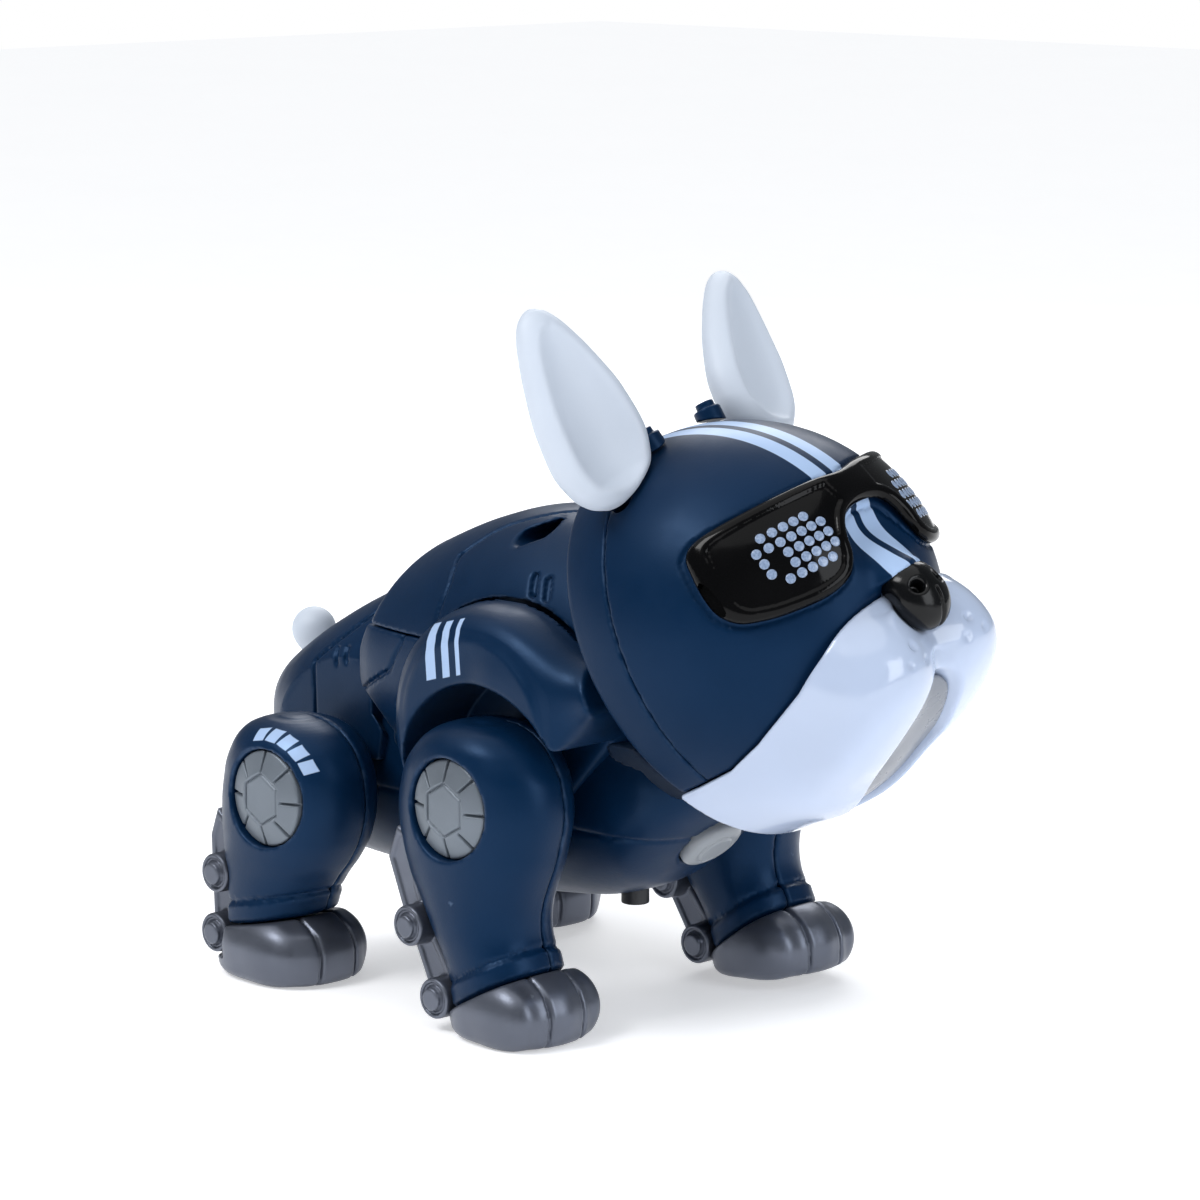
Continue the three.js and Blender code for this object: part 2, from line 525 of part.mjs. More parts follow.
const REAR_LEG = {
  hip: HIP.rear,
  stations: [
    [6, -91, -46, 18, 15], [15, -91, -46, 19, 15.2], [22, -90.5, -46, 20, 15.6], [29, -88.5, -46, 21.3, 16],
    [35, -85.5, -46, 24, 16.5], [42, -82.5, -46, 27.2, 17], [50, -81, -46, 28.5, 17.2], [58, -81.5, -46, 27.4, 17],
    [65, -82.5, -46, 23.4, 16], [70, -83.5, -46, 17.5, 13.5], [73, -84, -46, 9.5, 9], [74, -84, -46, 2.5, 2.5],
  ],
  cuffPoint: [-89, 0, 16],
  cuffNormal: [0.2, 0, -0.98],
  strut: [[-112, 45], [-115, 36], [-113, 26], [-112, 12], [-106, 4.5], [-98, 6], [-99, 16], [-101, 28], [-104, 40]],
  bosses: [[-104, 27], [-104, 10]],
  foot: [
    [0, -84, -46, 17, 14.5], [0.9, -84, -46, 21.5, 17.4], [3, -84.4, -46, 23.4, 18.8], [9, -84.6, -46, 23.8, 19],
    [13.5, -85, -46, 22, 17.6], [17, -86, -46, 17.5, 14.5], [20, -87.5, -46, 10, 9.5], [21.4, -88, -46, 2, 2],
  ],
  toes: [[-61, 6.4], [-61, -6.4]],
};
const GROOVE_COUNT = 8;
const STRUT_INNER_Y = -54.5;
const STRUT_OUTER_Y = -43;

function legParts(leg) {
  const [hx, hz] = leg.hip;
  const cuffCut = beyond(leg.cuffPoint, leg.cuffNormal);
  const outer = loft('z', leg.stations, { sides: 14, square: 2.3 });
  const inner = loft('z', shrink(leg.stations.filter((_, k) => k % 2 === 0), WALL), { sides: 8, square: 2.1 });
  const bossTool = (growth, face = -60) => leg.bosses
    .map(([x, z]) => bar([x, face, z], [x, -43 + growth, z], 5.4 + growth, 5.4 + growth, 14))
    .reduce((a, b) => a.add(b));
  const plateTool = slab(leg.strut, STRUT_INNER_Y, STRUT_OUTER_Y);
  const centre = leg.strut.reduce(([a, b], [x, z]) => [a + x / leg.strut.length, b + z / leg.strut.length], [0, 0]);
  const wider = leg.strut.map(([x, z]) => {
    const length = Math.hypot(x - centre[0], z - centre[1]);
    return [x + (0.8 * (x - centre[0])) / length, z + (0.8 * (z - centre[1])) / length];
  });
  const strutRoom = slab(wider, -66, STRUT_OUTER_Y + GAP).add(bossTool(GAP, -66));
  const caps = leg.bosses
    .map(([x, z]) => bar([x, -61.2, z], [x, -59.9, z], 2.9, 3.2, 12))
    .reduce((a, b) => a.add(b));
  const shell = outer.subtract(inner).subtract(cuffCut).subtract(strutRoom);
  const discHole = bar([hx, -70, hz], [hx, -52, hz], DISC_RADIUS + GAP, DISC_RADIUS + GAP, 20);
  const shaftHole = bar([hx, -50, hz], [hx, -20, hz], HIP_SHAFT_RADIUS + GAP, HIP_SHAFT_RADIUS + GAP, 16);
  const outerShell = largestPiece(shell.subtract(beyond([0, -LEG_SPLIT_Y, 0], [0, 1, 0])).subtract(discHole));
  const innerShell = largestPiece(shell.subtract(beyond([0, -LEG_SPLIT_Y + GAP, 0], [0, -1, 0])).subtract(shaftHole));
  const grooves = [...Array(GROOVE_COUNT).keys()].map((k) => {
    const shape = new THREE.BoxGeometry(6, 2, 0.7);
    shape.translate(11, 0, 0);
    shape.rotateY(rad((k + 0.5) * (360 / GROOVE_COUNT)));
    shape.translate(hx, -62.6, hz);
    return solid(shape);
  }).reduce((a, b) => a.add(b));
  const disc = bar([hx, -61, hz], [hx, -56.5, hz], DISC_RADIUS, DISC_RADIUS, 20)
    .add(bar([hx, -62.8, hz], [hx, -60.9, hz], 7.5, DISC_RADIUS - 0.8, 20))
    .subtract(grooves);
  const shaft = bar([hx, -56.1, hz], [hx, -22, hz], HIP_SHAFT_RADIUS, HIP_SHAFT_RADIUS, 16);
  const footCut = beyond(along(leg.cuffPoint, leg.cuffNormal, GAP), leg.cuffNormal.map((v) => -v));
  const toeCuts = leg.toes
    .map(([x, y]) => bar([x, y - LEG_CENTRE_Y - 0.6, 11], [x, y - LEG_CENTRE_Y + 0.6, 11], 8, 8, 8))
    .reduce((a, b) => a.add(b));
  const neck = loft('z', shrink(leg.stations.slice(0, 4), WALL + 1.2), { sides: 8, square: 2.3 })
    .intersect(beyond(along(leg.cuffPoint, leg.cuffNormal, -5), leg.cuffNormal))
    .subtract(beyond(along(leg.cuffPoint, leg.cuffNormal, 2), leg.cuffNormal));
  const foot = largestPiece(loft('z', leg.foot, { sides: 14, square: 2.4 })
    .subtract(footCut)
    .subtract(toeCuts)
    .add(neck)
    .subtract(strutRoom)
    .subtract(box(-FAR, FAR, -FAR, FAR, -FAR, 0)));
  const strut = largestPiece(plateTool.add(bossTool(0)).add(caps));
  return { outer_shell: outerShell, inner_shell: innerShell, hip_disc: disc, strut, foot, hip_shaft: shaft };
}

const LEG_COLOURS = {
  outer_shell: NAVY, inner_shell: NAVY, hip_disc: GREY, strut: GUNMETAL, foot: GUNMETAL, hip_shaft: STEEL,
};
for (const [end, leg] of [['front', FRONT_LEG], ['rear', REAR_LEG]]) {
  const parts = legParts(leg);
  for (const [name, body] of Object.entries(parts)) {
    addPart(`${end}_right_${name}`, body, LEG_COLOURS[name]);
    const swing = end === 'front' ? FRONT_LEFT_SWING : 0;
    const [hx, hz] = leg.hip;
    const swingMatrix = new THREE.Matrix4()
      .makeTranslation(hx, 0, hz)
      .multiply(new THREE.Matrix4().makeRotationY(rad(-swing)))
      .multiply(new THREE.Matrix4().makeTranslation(-hx, 0, -hz));
    const left = moved(mirrorY(body), swingMatrix);
    addPart(`${end}_left_${name}`, left, LEG_COLOURS[name]);
  }
}

group.position.x = CENTRE_SHIFT_X;
group.updateMatrixWorld(true);
export default group;
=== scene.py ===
import math
import bpy
import numpy as np
from mathutils import Matrix, Vector


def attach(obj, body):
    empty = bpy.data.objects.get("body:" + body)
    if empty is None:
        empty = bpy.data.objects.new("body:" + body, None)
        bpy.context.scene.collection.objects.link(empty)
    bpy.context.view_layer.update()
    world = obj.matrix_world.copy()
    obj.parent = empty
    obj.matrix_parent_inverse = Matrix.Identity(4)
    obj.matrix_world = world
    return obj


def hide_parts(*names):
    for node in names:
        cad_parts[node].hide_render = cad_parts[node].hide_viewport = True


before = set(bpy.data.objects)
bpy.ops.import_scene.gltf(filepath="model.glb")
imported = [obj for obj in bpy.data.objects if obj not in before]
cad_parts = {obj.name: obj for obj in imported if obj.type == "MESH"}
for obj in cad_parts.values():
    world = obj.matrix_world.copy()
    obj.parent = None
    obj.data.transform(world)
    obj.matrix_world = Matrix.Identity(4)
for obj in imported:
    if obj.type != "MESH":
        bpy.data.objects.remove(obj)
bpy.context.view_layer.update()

# All lengths below are millimetres in the part's own layout; OFFSET_X moves them into the frame.
MM = 0.001
OFFSET_X = 7.765
GRID = 0.62
RELAX, RELAX_PASSES = 0.5, 2

HIP_FRONT, HIP_REAR = (-3.0, 61.5), (-76.0, 53.0)
NECK = np.array([34.0, 0.0, 105.0])
NECK_TILT = math.radians(28)
HEAD_TURN = math.radians(11.5)


# ------------------------------------------------------------------ fields
def head_axes():
    forward = np.array([math.cos(NECK_TILT), 0, math.sin(NECK_TILT)])
    left0 = np.array([0, 1.0, 0])
    up0 = np.cross(forward, left0)
    left = left0 * math.cos(HEAD_TURN) + up0 * math.sin(HEAD_TURN)
    return forward, left, np.cross(forward, left)


HEAD_AXES = np.stack(head_axes(), 1)


def smooth_max(a, b, r):
    if r <= 0:
        return np.maximum(a, b)
    h = np.clip(0.5 + 0.5 * (a - b) / r, 0, 1)
    return b + (a - b) * h + r * h * (1 - h)


def smooth_min(a, b, r):
    return -smooth_max(-a, -b, r)


def cut(a, tool, r=0.5):
    return smooth_max(a, -tool, r)


def keep(a, tool, r=0.5):
    return smooth_max(a, tool, r)


def sphere(P, c, r):
    return np.sqrt((P[0] - c[0]) ** 2 + (P[1] - c[1]) ** 2 + (P[2] - c[2]) ** 2) - r


def ellipsoid(P, c, radii):
    q = [(P[i] - c[i]) / radii[i] for i in range(3)]
    k0 = np.sqrt(q[0] ** 2 + q[1] ** 2 + q[2] ** 2) + 1e-9
    k1 = np.sqrt(sum((q[i] / radii[i]) ** 2 for i in range(3))) + 1e-9
    return k0 * (k0 - 1) / k1


def along_and_off(P, origin, axis):
    """How far a point lies along an axis from its origin, and how far off that axis."""
    rel = [P[i] - origin[i] for i in range(3)]
    along = sum(rel[i] * axis[i] for i in range(3))
    off = sum((rel[i] - along * axis[i]) ** 2 for i in range(3))
    return along, np.sqrt(np.maximum(off, 0))


def rod(P, a, b, ra, rb=None, flat=True):
    """A round bar between two points, with flat ends or round ones."""
    rb = ra if rb is None else rb
    a, b = np.asarray(a, float), np.asarray(b, float)
    length = np.linalg.norm(b - a)
    d = (b - a) / length
    t, off = along_and_off(P, a, d)
    tc = np.clip(t, 0, length)
    radius = ra + (rb - ra) * tc / length
    if flat:
        return smooth_max(off - radius, np.maximum(-t, t - length), 0.3)
    return np.sqrt(sum((P[i] - a[i] - tc * d[i]) ** 2 for i in range(3))) - radius


def half(P, point, normal):
    """Negative on the side the normal points away from."""
    n = np.asarray(normal, float)
    n = n / np.linalg.norm(n)
    return sum((P[i] - point[i]) * n[i] for i in range(3))


def block(P, lo, hi, r=0.0):
    q = [np.abs(P[i] - (lo[i] + hi[i]) / 2) - (hi[i] - lo[i]) / 2 + r for i in range(3)]
    outside = np.sqrt(sum(np.maximum(v, 0) ** 2 for v in q))
    inside = np.minimum(np.maximum(np.maximum(q[0], q[1]), q[2]), 0)
    return outside + inside - r


def curve(stations, t):
    """Smooth values between stations, kept monotone so that nothing overshoots."""
    s = np.asarray(stations, float)
    order = np.argsort(s[:, 0])
    s = s[order]
    x = s[:, 0]
    slope = np.diff(s[:, 1:], axis=0) / np.diff(x)[:, None]
    tangent = np.zeros_like(s[:, 1:])
    tangent[0], tangent[-1] = slope[0], slope[-1]
    a, b = slope[:-1], slope[1:]
    same = (a * b) > 0
    wa = (2 * np.diff(x)[1:] + np.diff(x)[:-1])[:, None]
    wb = (np.diff(x)[1:] + 2 * np.diff(x)[:-1])[:, None]
    mean = (wa + wb) / (wa / np.where(same, a, 1) + wb / np.where(same, b, 1))
    tangent[1:-1] = np.where(same, mean, 0)
    tc = np.clip(t, x[0], x[-1])
    k = np.clip(np.searchsorted(x, tc) - 1, 0, len(x) - 2)
    h = (x[k + 1] - x[k])[..., None]
    u = ((tc - x[k]) / (x[k + 1] - x[k]))[..., None]
    p0, p1 = s[k, 1:], s[k + 1, 1:]
    m0, m1 = tangent[k], tangent[k + 1]
    return (2 * u**3 - 3 * u**2 + 1) * p0 + (u**3 - 2 * u**2 + u) * h * m0 \
        + (-2 * u**3 + 3 * u**2) * p1 + (u**3 - u**2) * h * m1


def loft(P, axis, stations, square=2.2):
    """Rounded sections along an axis, as a rough distance.

    A station is [place, centre 1, centre 2, half size 1, half size 2]."""
    i = "xyz".index(axis)
    j, k = {"x": (1, 2), "y": (2, 0), "z": (0, 1)}[axis]
    c = curve(stations, P[i])
    wide, tall = np.maximum(c[..., 2], 0.3), np.maximum(c[..., 3], 0.3)
    a = np.abs((P[j] - c[..., 0]) / wide)
    b = np.abs((P[k] - c[..., 1]) / tall)
    g = (a**square + b**square) ** (1 / square)
    # steepness of g, so that the result is close to a length
    ga = np.maximum(a, 1e-6) ** (square - 1) / wide
    gb = np.maximum(b, 1e-6) ** (square - 1) / tall
    slope = np.sqrt(ga**2 + gb**2) / np.maximum(g, 1e-6) ** (square - 1)
    body = (g - 1) / np.maximum(slope, 0.5 / np.maximum(wide, tall))
    s = np.asarray(stations, float)[:, 0]
    return np.maximum(body, np.maximum(s.min() - P[i], P[i] - s.max()))


def centred(rows):
    """Stations of a loft along x whose middle is in the plane y = 0."""
    return [[x, 0, z, wide, tall] for x, z, wide, tall in rows]


def closed_curve(points, steps=6):
    """A smooth closed line through the points."""
    p = np.asarray(points, float)
    out = []
    for k in range(len(p)):
        p0, p1, p2, p3 = p[k - 1], p[k], p[(k + 1) % len(p)], p[(k + 2) % len(p)]
        for u in np.arange(steps) / steps:
            out.append(0.5 * (2 * p1 + (p2 - p0) * u + (2 * p0 - 5 * p1 + 4 * p2 - p3) * u**2
                              + (3 * p1 - p0 - 3 * p2 + p3) * u**3))
    return np.array(out)


def segment_gap(U, V, a, b):
    """Squared distance to the line from a to b."""
    d = (b[0] - a[0], b[1] - a[1])
    t = np.clip(((U - a[0]) * d[0] + (V - a[1]) * d[1]) / (d[0] ** 2 + d[1] ** 2 + 1e-12), 0, 1)
    return (U - a[0] - t * d[0]) ** 2 + (V - a[1] - t * d[1]) ** 2


def outline(U, V, points):
    """Signed distance to a closed flat outline, negative inside."""
    p = np.asarray(points, float)
    best = np.inf
    odd = np.zeros(np.broadcast(U, V).shape, bool)
    for a, b in zip(p, np.roll(p, -1, 0)):
        d = b - a
        best = np.minimum(best, segment_gap(U, V, a, b))
        level = d[0] * (V - a[1]) / (d[1] if d[1] else 1e-12) + a[0]
        odd ^= ((a[1] > V) != (b[1] > V)) & (U < level)
    return np.where(odd, -1, 1) * np.sqrt(best)


class Stencil:
    """A closed outline's distance, worked out once on a fine grid and then looked up."""

    def __init__(self, points, margin=12.0, step=0.25):
        p = np.asarray(points, float)
        self.step = step
        self.lo = p.min(0) - margin
        u = np.arange(self.lo[0], p[:, 0].max() + margin, step)
        v = np.arange(self.lo[1], p[:, 1].max() + margin, step)
        self.map = outline(u[:, None], v[None, :], p)

    def __call__(self, U, V):
        a = np.clip((U - self.lo[0]) / self.step, 0, self.map.shape[0] - 1.001)
        b = np.clip((V - self.lo[1]) / self.step, 0, self.map.shape[1] - 1.001)
        i, j = a.astype(int), b.astype(int)
        fa, fb = a - i, b - j
        m = self.map
        near = m[i, j] * (1 - fa) + m[i + 1, j] * fa
        far = m[i, j + 1] * (1 - fa) + m[i + 1, j + 1] * fa
        return near * (1 - fb) + far * fb


def track(U, V, points):
    """Distance to an open line through the points."""
    best = np.inf
    for a, b in zip(points[:-1], points[1:]):
        best = np.minimum(best, segment_gap(U, V, a, b))
    return np.sqrt(best)


def groove(f, line, width=0.7, depth=0.8, r=0.35):
    """Cuts a thin line where another field is near zero, to a depth below the surface f."""
    return smooth_max(f, -np.maximum(np.abs(line) - width / 2, -(f + depth)), r)


# ------------------------------------------------------------------ field to mesh
def surface(func, lo, hi, step=None):
    """Meshes the zero level of func on a grid between two corners."""
    step = step or GRID
    lo, hi = np.array(lo, float) - 2 * step, np.array(hi, float) + 2 * step
    axes = [np.arange(lo[i], hi[i] + step, step) for i in range(3)]
    P = np.meshgrid(*axes, indexing="ij", sparse=True)
    f = np.array(np.broadcast_to(func(P), tuple(len(a) for a in axes)), dtype=np.float64)
    f[f == 0] = 1e-9
    inside = f < 0
    n = f.shape
    total = np.zeros(tuple(m - 1 for m in n) + (3,))
    count = np.zeros(tuple(m - 1 for m in n))
    corner = [np.array(c) for c in np.ndindex(2, 2, 2)]
    for a in corner:
        for d in range(3):
            if a[d]:
                continue
            b = a.copy()
            b[d] = 1
            sa = tuple(slice(a[i], n[i] - 1 + a[i]) for i in range(3))
            sb = tuple(slice(b[i], n[i] - 1 + b[i]) for i in range(3))
            fa, fb = f[sa], f[sb]
            crosses = (fa < 0) != (fb < 0)
            t = np.where(crosses, fa / np.where(crosses, fa - fb, 1), 0)
            for i in range(3):
                total[..., i] += np.where(crosses, a[i] + (t if i == d else 0), 0)
            count += crosses
    active = count > 0
    index = -np.ones(active.shape, int)
    index[active] = np.arange(active.sum())
    cells = np.argwhere(active)
    points = (cells + total[active] / count[active][:, None]) * step + lo
    quads = []
    for d in range(3):
        e, g = [i for i in range(3) if i != d]
        s0 = [slice(1, n[i] - 1) for i in range(3)]
        s1 = [slice(1, n[i] - 1) for i in range(3)]
        s0[d], s1[d] = slice(0, n[d] - 1), slice(1, n[d])
        a, b = inside[tuple(s0)], inside[tuple(s1)]
        where = np.argwhere(a != b)
        if not len(where):
            continue
        base = where.copy()
        base[:, e] += 1
        base[:, g] += 1
        flip = a[tuple(where.T)]

        def cell(de, dg):
            q = base.copy()
            q[:, e] -= de
            q[:, g] -= dg
            return index[tuple(q.T)]

        q = np.stack([cell(1, 1), cell(0, 1), cell(0, 0), cell(1, 0)], 1)
        turn = flip if d != 1 else ~flip
        q[~turn] = q[~turn][:, ::-1]
        quads.append(q)
    quads = np.concatenate(quads)
    # relax the points a little, so that the grid's own steps don't show
    edges = np.concatenate([quads[:, [0, 1]], quads[:, [1, 2]], quads[:, [2, 3]], quads[:, [3, 0]]])
    near = np.bincount(edges.ravel(), minlength=len(points)).astype(float)
    for _ in range(RELAX_PASSES):
        for weight in (RELAX, -RELAX):
            mean = np.zeros_like(points)
            for i in range(3):
                mean[:, i] = np.bincount(edges[:, 0], points[edges[:, 1], i], len(points)) \
                    + np.bincount(edges[:, 1], points[edges[:, 0], i], len(points))
            points = points + weight * (mean / near[:, None] - points)
    return points, quads


def largest(points, quads):
    """Keeps the biggest connected piece."""
    label = np.arange(len(points))
    edges = np.concatenate([quads[:, [0, 1]], quads[:, [1, 2]], quads[:, [2, 3]]])
    while True:
        low = np.minimum(label[edges[:, 0]], label[edges[:, 1]])
        new = label.copy()
        np.minimum.at(new, edges[:, 0], low)
        np.minimum.at(new, edges[:, 1], low)
        new = new[new]
        new = new[new]
        if (new == label).all():
            break
        label = new
    root = np.bincount(label[quads[:, 0]], minlength=len(points)).argmax()
    good = label[quads[:, 0]] == root
    quads = quads[good]
    used, inverse = np.unique(quads, return_inverse=True)
    return points[used], inverse.reshape(quads.shape)


def place(points, where="body"):
    if where == "head":
        points = points @ HEAD_AXES.T + NECK
    return (points + np.array([OFFSET_X, 0, 0])) * MM


def make(name, points, faces, material, body, nodes):
    mesh = bpy.data.meshes.new(name)
    mesh.from_pydata(points.tolist(), [], faces.tolist())
    mesh.validate()
    mesh.update()
    mesh.polygons.foreach_set("use_smooth", [True] * len(mesh.polygons))
    obj = bpy.data.objects.new(name, mesh)
    bpy.context.collection.objects.link(obj)
    mesh.materials.append(material)
    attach(obj, body)
    if nodes:
        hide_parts(*nodes)


def mirrored(points, faces):
    return points * np.array([1, -1, 1]), faces[:, ::-1]


def swung(points, pivot, degrees):
    """Turns points about a line across the body; positive moves the foot forward."""
    a = math.radians(degrees)
    x, z = points[:, 0] - pivot[0], points[:, 2] - pivot[1]
    out = points.copy()
    out[:, 0] = pivot[0] + x * math.cos(a) - z * math.sin(a)
    out[:, 2] = pivot[1] + x * math.sin(a) + z * math.cos(a)
    return out


# ------------------------------------------------------------------ materials
def shader(name):
    mat = bpy.data.materials.new(name)
    mat.use_nodes = True
    tree = mat.node_tree
    return mat, tree, tree.nodes["Principled BSDF"]


class Nodes:
    """A short way to write node trees."""

    def __init__(self, tree):
        self.tree = tree
        self.coords = tree.nodes.new("ShaderNodeTexCoord").outputs["Object"]

    def link(self, value, socket):
        if isinstance(value, bpy.types.NodeSocket):
            self.tree.links.new(value, socket)
        else:
            socket.default_value = value

    def math(self, kind, a, b=0.0):
        n = self.tree.nodes.new("ShaderNodeMath")
        n.operation = kind
        self.link(a, n.inputs[0])
        self.link(b, n.inputs[1])
        return n.outputs[0]

    def dot(self, direction, origin=(0, 0, 0)):
        """How far a surface point lies along a direction from an origin, in metres."""
        n = self.tree.nodes.new("ShaderNodeVectorMath")
        n.operation = "DOT_PRODUCT"
        self.link(self.coords, n.inputs[0])
        n.inputs[1].default_value = direction
        return self.math("SUBTRACT", n.outputs["Value"], float(np.dot(direction, origin)))

    def noise(self, scale, detail=2.0, rough=0.5):
        n = self.tree.nodes.new("ShaderNodeTexNoise")
        n.inputs["Scale"].default_value = scale
        n.inputs["Detail"].default_value = detail
        n.inputs["Roughness"].default_value = rough
        self.link(self.coords, n.inputs["Vector"])
        return n.outputs["Fac"]

    def remap(self, value, lo, hi, to_lo, to_hi):
        n = self.tree.nodes.new("ShaderNodeMapRange")
        self.link(value, n.inputs["Value"])
        for key, v in (("From Min", lo), ("From Max", hi), ("To Min", to_lo), ("To Max", to_hi)):
            n.inputs[key].default_value = v
        return n.outputs["Result"]

    def mix(self, factor, a, b):
        n = self.tree.nodes.new("ShaderNodeMix")
        n.data_type = "RGBA"
        self.link(factor, n.inputs["Factor"])
        self.link(a, n.inputs["A"])
        self.link(b, n.inputs["B"])
        return n.outputs["Result"]

    def bump(self, height, strength, distance):
        n = self.tree.nodes.new("ShaderNodeBump")
        n.inputs["Strength"].default_value = strength
        n.inputs["Distance"].default_value = distance
        self.link(height, n.inputs["Height"])
        return n.outputs["Normal"]

    def wear(self, lo=0.52, hi=0.62):
        """1 on sharp outer edges, 0 elsewhere."""
        n = self.tree.nodes.new("ShaderNodeNewGeometry")
        return self.remap(n.outputs["Pointiness"], lo, hi, 0, 1)

    def inside(self, value, half_width, soft=0.00008):
        """1 where the value is within a half width of zero."""
        return self.remap(self.math("ABSOLUTE", value), half_width - soft, half_width + soft, 1, 0)


def colour(r, g, b):
    """From screen values out of 255 to linear light."""
    def lin(v):
        v /= 255
        return v / 12.92 if v <= 0.04045 else ((v + 0.055) / 1.055) ** 2.4
    return (lin(r), lin(g), lin(b), 1)


def moulded(name, base, shade=0.12, rough=0.4, grain=0.25, grain_size=1500, coat=0.0,
            metal=0.0, spec=0.5, worn=None, paint=None, tint=(1, 1, 1, 1)):
    """Moulded plastic: faint blotches, fine grain, uneven gloss and paler worn edges."""
    mat, tree, bsdf = shader(name)
    n = Nodes(tree)
    broad = n.noise(28, 3)
    fine = n.noise(grain_size, 2, 0.6)
    lighter = tuple(min(1, c * (1 + shade) + 0.002) for c in base[:3]) + (1,)
    darker = tuple(c * (1 - shade) for c in base[:3]) + (1,)
    tone = n.mix(n.remap(broad, 0.3, 0.7, 0, 1), darker, lighter)
    if worn:
        edge = n.math("MULTIPLY", n.wear(), n.remap(n.noise(300, 3), 0.45, 0.65, 0, 0.55))
        tone = n.mix(edge, tone, worn)
    paint_mask = None
    if paint:
        mask, ink = paint(n)
        paint_mask = mask
        tone = n.mix(mask, tone, ink)
    n.link(tone, bsdf.inputs["Base Color"])
    gloss = n.remap(n.noise(160, 4), 0.25, 0.75, rough - 0.05, rough + 0.06)
    if paint_mask is not None:
        gloss = n.math("SUBTRACT", gloss, n.math("MULTIPLY", paint_mask, 0.05))
    n.link(gloss, bsdf.inputs["Roughness"])
    finest = n.noise(grain_size * 2.7, 1)
    height = n.math("ADD", n.math("MULTIPLY", fine, 0.7), n.math("MULTIPLY", finest, 0.3))
    n.link(n.bump(height, grain, 0.00012), bsdf.inputs["Normal"])
    bsdf.inputs["Metallic"].default_value = metal
    bsdf.inputs["Specular IOR Level"].default_value = spec
    bsdf.inputs["Specular Tint"].default_value = tint
    if coat:
        bsdf.inputs["Coat Weight"].default_value = coat
        bsdf.inputs["Coat Roughness"].default_value = 0.06
    return mat


NAVY = colour(2, 31, 60)
BLUE_GLOSS = (0.30, 0.55, 1.0, 1)
PALE_BLUE = colour(166, 190, 224)
HEAD_ORIGIN = (NECK + np.array([OFFSET_X, 0, 0])) * MM
STRIPE_INNER, STRIPE_OUTER = 1.25, 6.1
# bars are painted only this far out from the middle, in metres
BARS_Y = 0.025


def head_stripes(n):
    across = n.dot(tuple(HEAD_AXES[:, 1]), HEAD_ORIGIN)
    ahead = n.dot(tuple(HEAD_AXES[:, 0]), HEAD_ORIGIN)
    middle = (STRIPE_INNER + STRIPE_OUTER) / 2 * MM
    half_width = (STRIPE_OUTER - STRIPE_INNER) / 2 * MM
    band = n.inside(n.math("SUBTRACT", n.math("ABSOLUTE", across), middle), half_width)
    return n.math("MULTIPLY", band, n.remap(ahead, 2.4 * MM, 2.9 * MM, 0, 1)), PALE_BLUE


def bars(shapes):
    """Painted slanted bars, each (x, z, half length, half height, slope, lean) in the part's mm."""
    def paint(n):
        total = None
        for x, z, half_u, half_v, slope, lean in shapes:
            a = math.radians(slope)
            u = n.dot((math.cos(a), 0, math.sin(a)), ((x + OFFSET_X) * MM, 0, z * MM))
            v = n.dot((-math.sin(a), 0, math.cos(a)), ((x + OFFSET_X) * MM, 0, z * MM))
            u = n.math("SUBTRACT", u, n.math("MULTIPLY", v, lean))
            mask = n.math("MULTIPLY", n.inside(u, half_u * MM), n.inside(v, half_v * MM))
            total = mask if total is None else n.math("MAXIMUM", total, mask)
        out = n.math("ABSOLUTE", n.dot((0, 1, 0)))
        return n.math("MULTIPLY", total, n.remap(out, BARS_Y - MM, BARS_Y, 0, 1)), PALE_BLUE
    return paint


WORN = colour(96, 118, 148)


def navy_plastic(name, shade=0.10, rough=0.36, grain=0.30, spec=0.30, paint=None):
    return moulded(name, NAVY, shade, rough, grain, spec=spec, tint=BLUE_GLOSS, worn=WORN, paint=paint)


navy = navy_plastic("navy_matte")
navy_head = navy_plastic("navy_head", 0.08, 0.38, 0.22, 0.24, head_stripes)
FLANK_BARS = [
    (-47.0, 74.4, 3.6, 2.3, 14, 0.5), (-48.4, 68.6, 3.6, 1.7, 14, 0.5),
    (-20.6, 99.6, 1.9, 7.2, 16, 0.2), (-14.8, 101.0, 1.4, 7.2, 16, 0.2),
    (-10.2, 102.2, 0.8, 7.2, 16, 0.2)]
# a row of dashes in an arc over the rear hip disc: radius and the angles of the dashes
THIGH_ARC_R, THIGH_ANGLES = 17.4, (100, 84, 68, 52, 36)
THIGH_BARS = [(HIP_REAR[0] + THIGH_ARC_R * math.cos(math.radians(a)),
               HIP_REAR[1] + THIGH_ARC_R * math.sin(math.radians(a)),
               1.9, 1.5, a - 90, 0.25) for a in THIGH_ANGLES]
navy_side = navy_plastic("navy_side", grain=0.28, paint=bars(FLANK_BARS))
navy_thigh = navy_plastic("navy_thigh", paint=bars(THIGH_BARS))
# a darker copy of the navy plastic for the neck collar: painted shade, for the collar that sits low
# between the head and the body
navy_painted_shade = moulded("navy_collar_painted_shade", colour(6, 24, 44), 0.1, 0.5, 0.3, spec=0.12)
soft_white = moulded("soft_white", colour(200, 209, 222), 0.03, 0.5, 0.16, grain_size=900)
gloss_white = moulded("gloss_white", colour(180, 194, 219), 0.03, 0.16, 0.03, coat=0.5)
gloss_black = moulded("gloss_black", colour(3, 3, 4), 0.15, 0.10, 0.02, spec=0.14)
nose_black = moulded("nose_black", colour(6, 7, 9), 0.15, 0.17, 0.05, spec=0.25)
insert_grey = moulded("insert_grey", colour(122, 127, 136), 0.06, 0.30, 0.15)
disc_grey = moulded("disc_grey", colour(106, 114, 123), 0.16, 0.42, 0.35, metal=0.35, spec=0.3,
                    worn=colour(150, 156, 164))
gunmetal = moulded("gunmetal", colour(98, 103, 115), 0.14, 0.36, 0.25, metal=0.7,
                   worn=colour(150, 156, 166))
button_grey = moulded("button_grey", colour(140, 145, 151), 0.08, 0.32, 0.15)
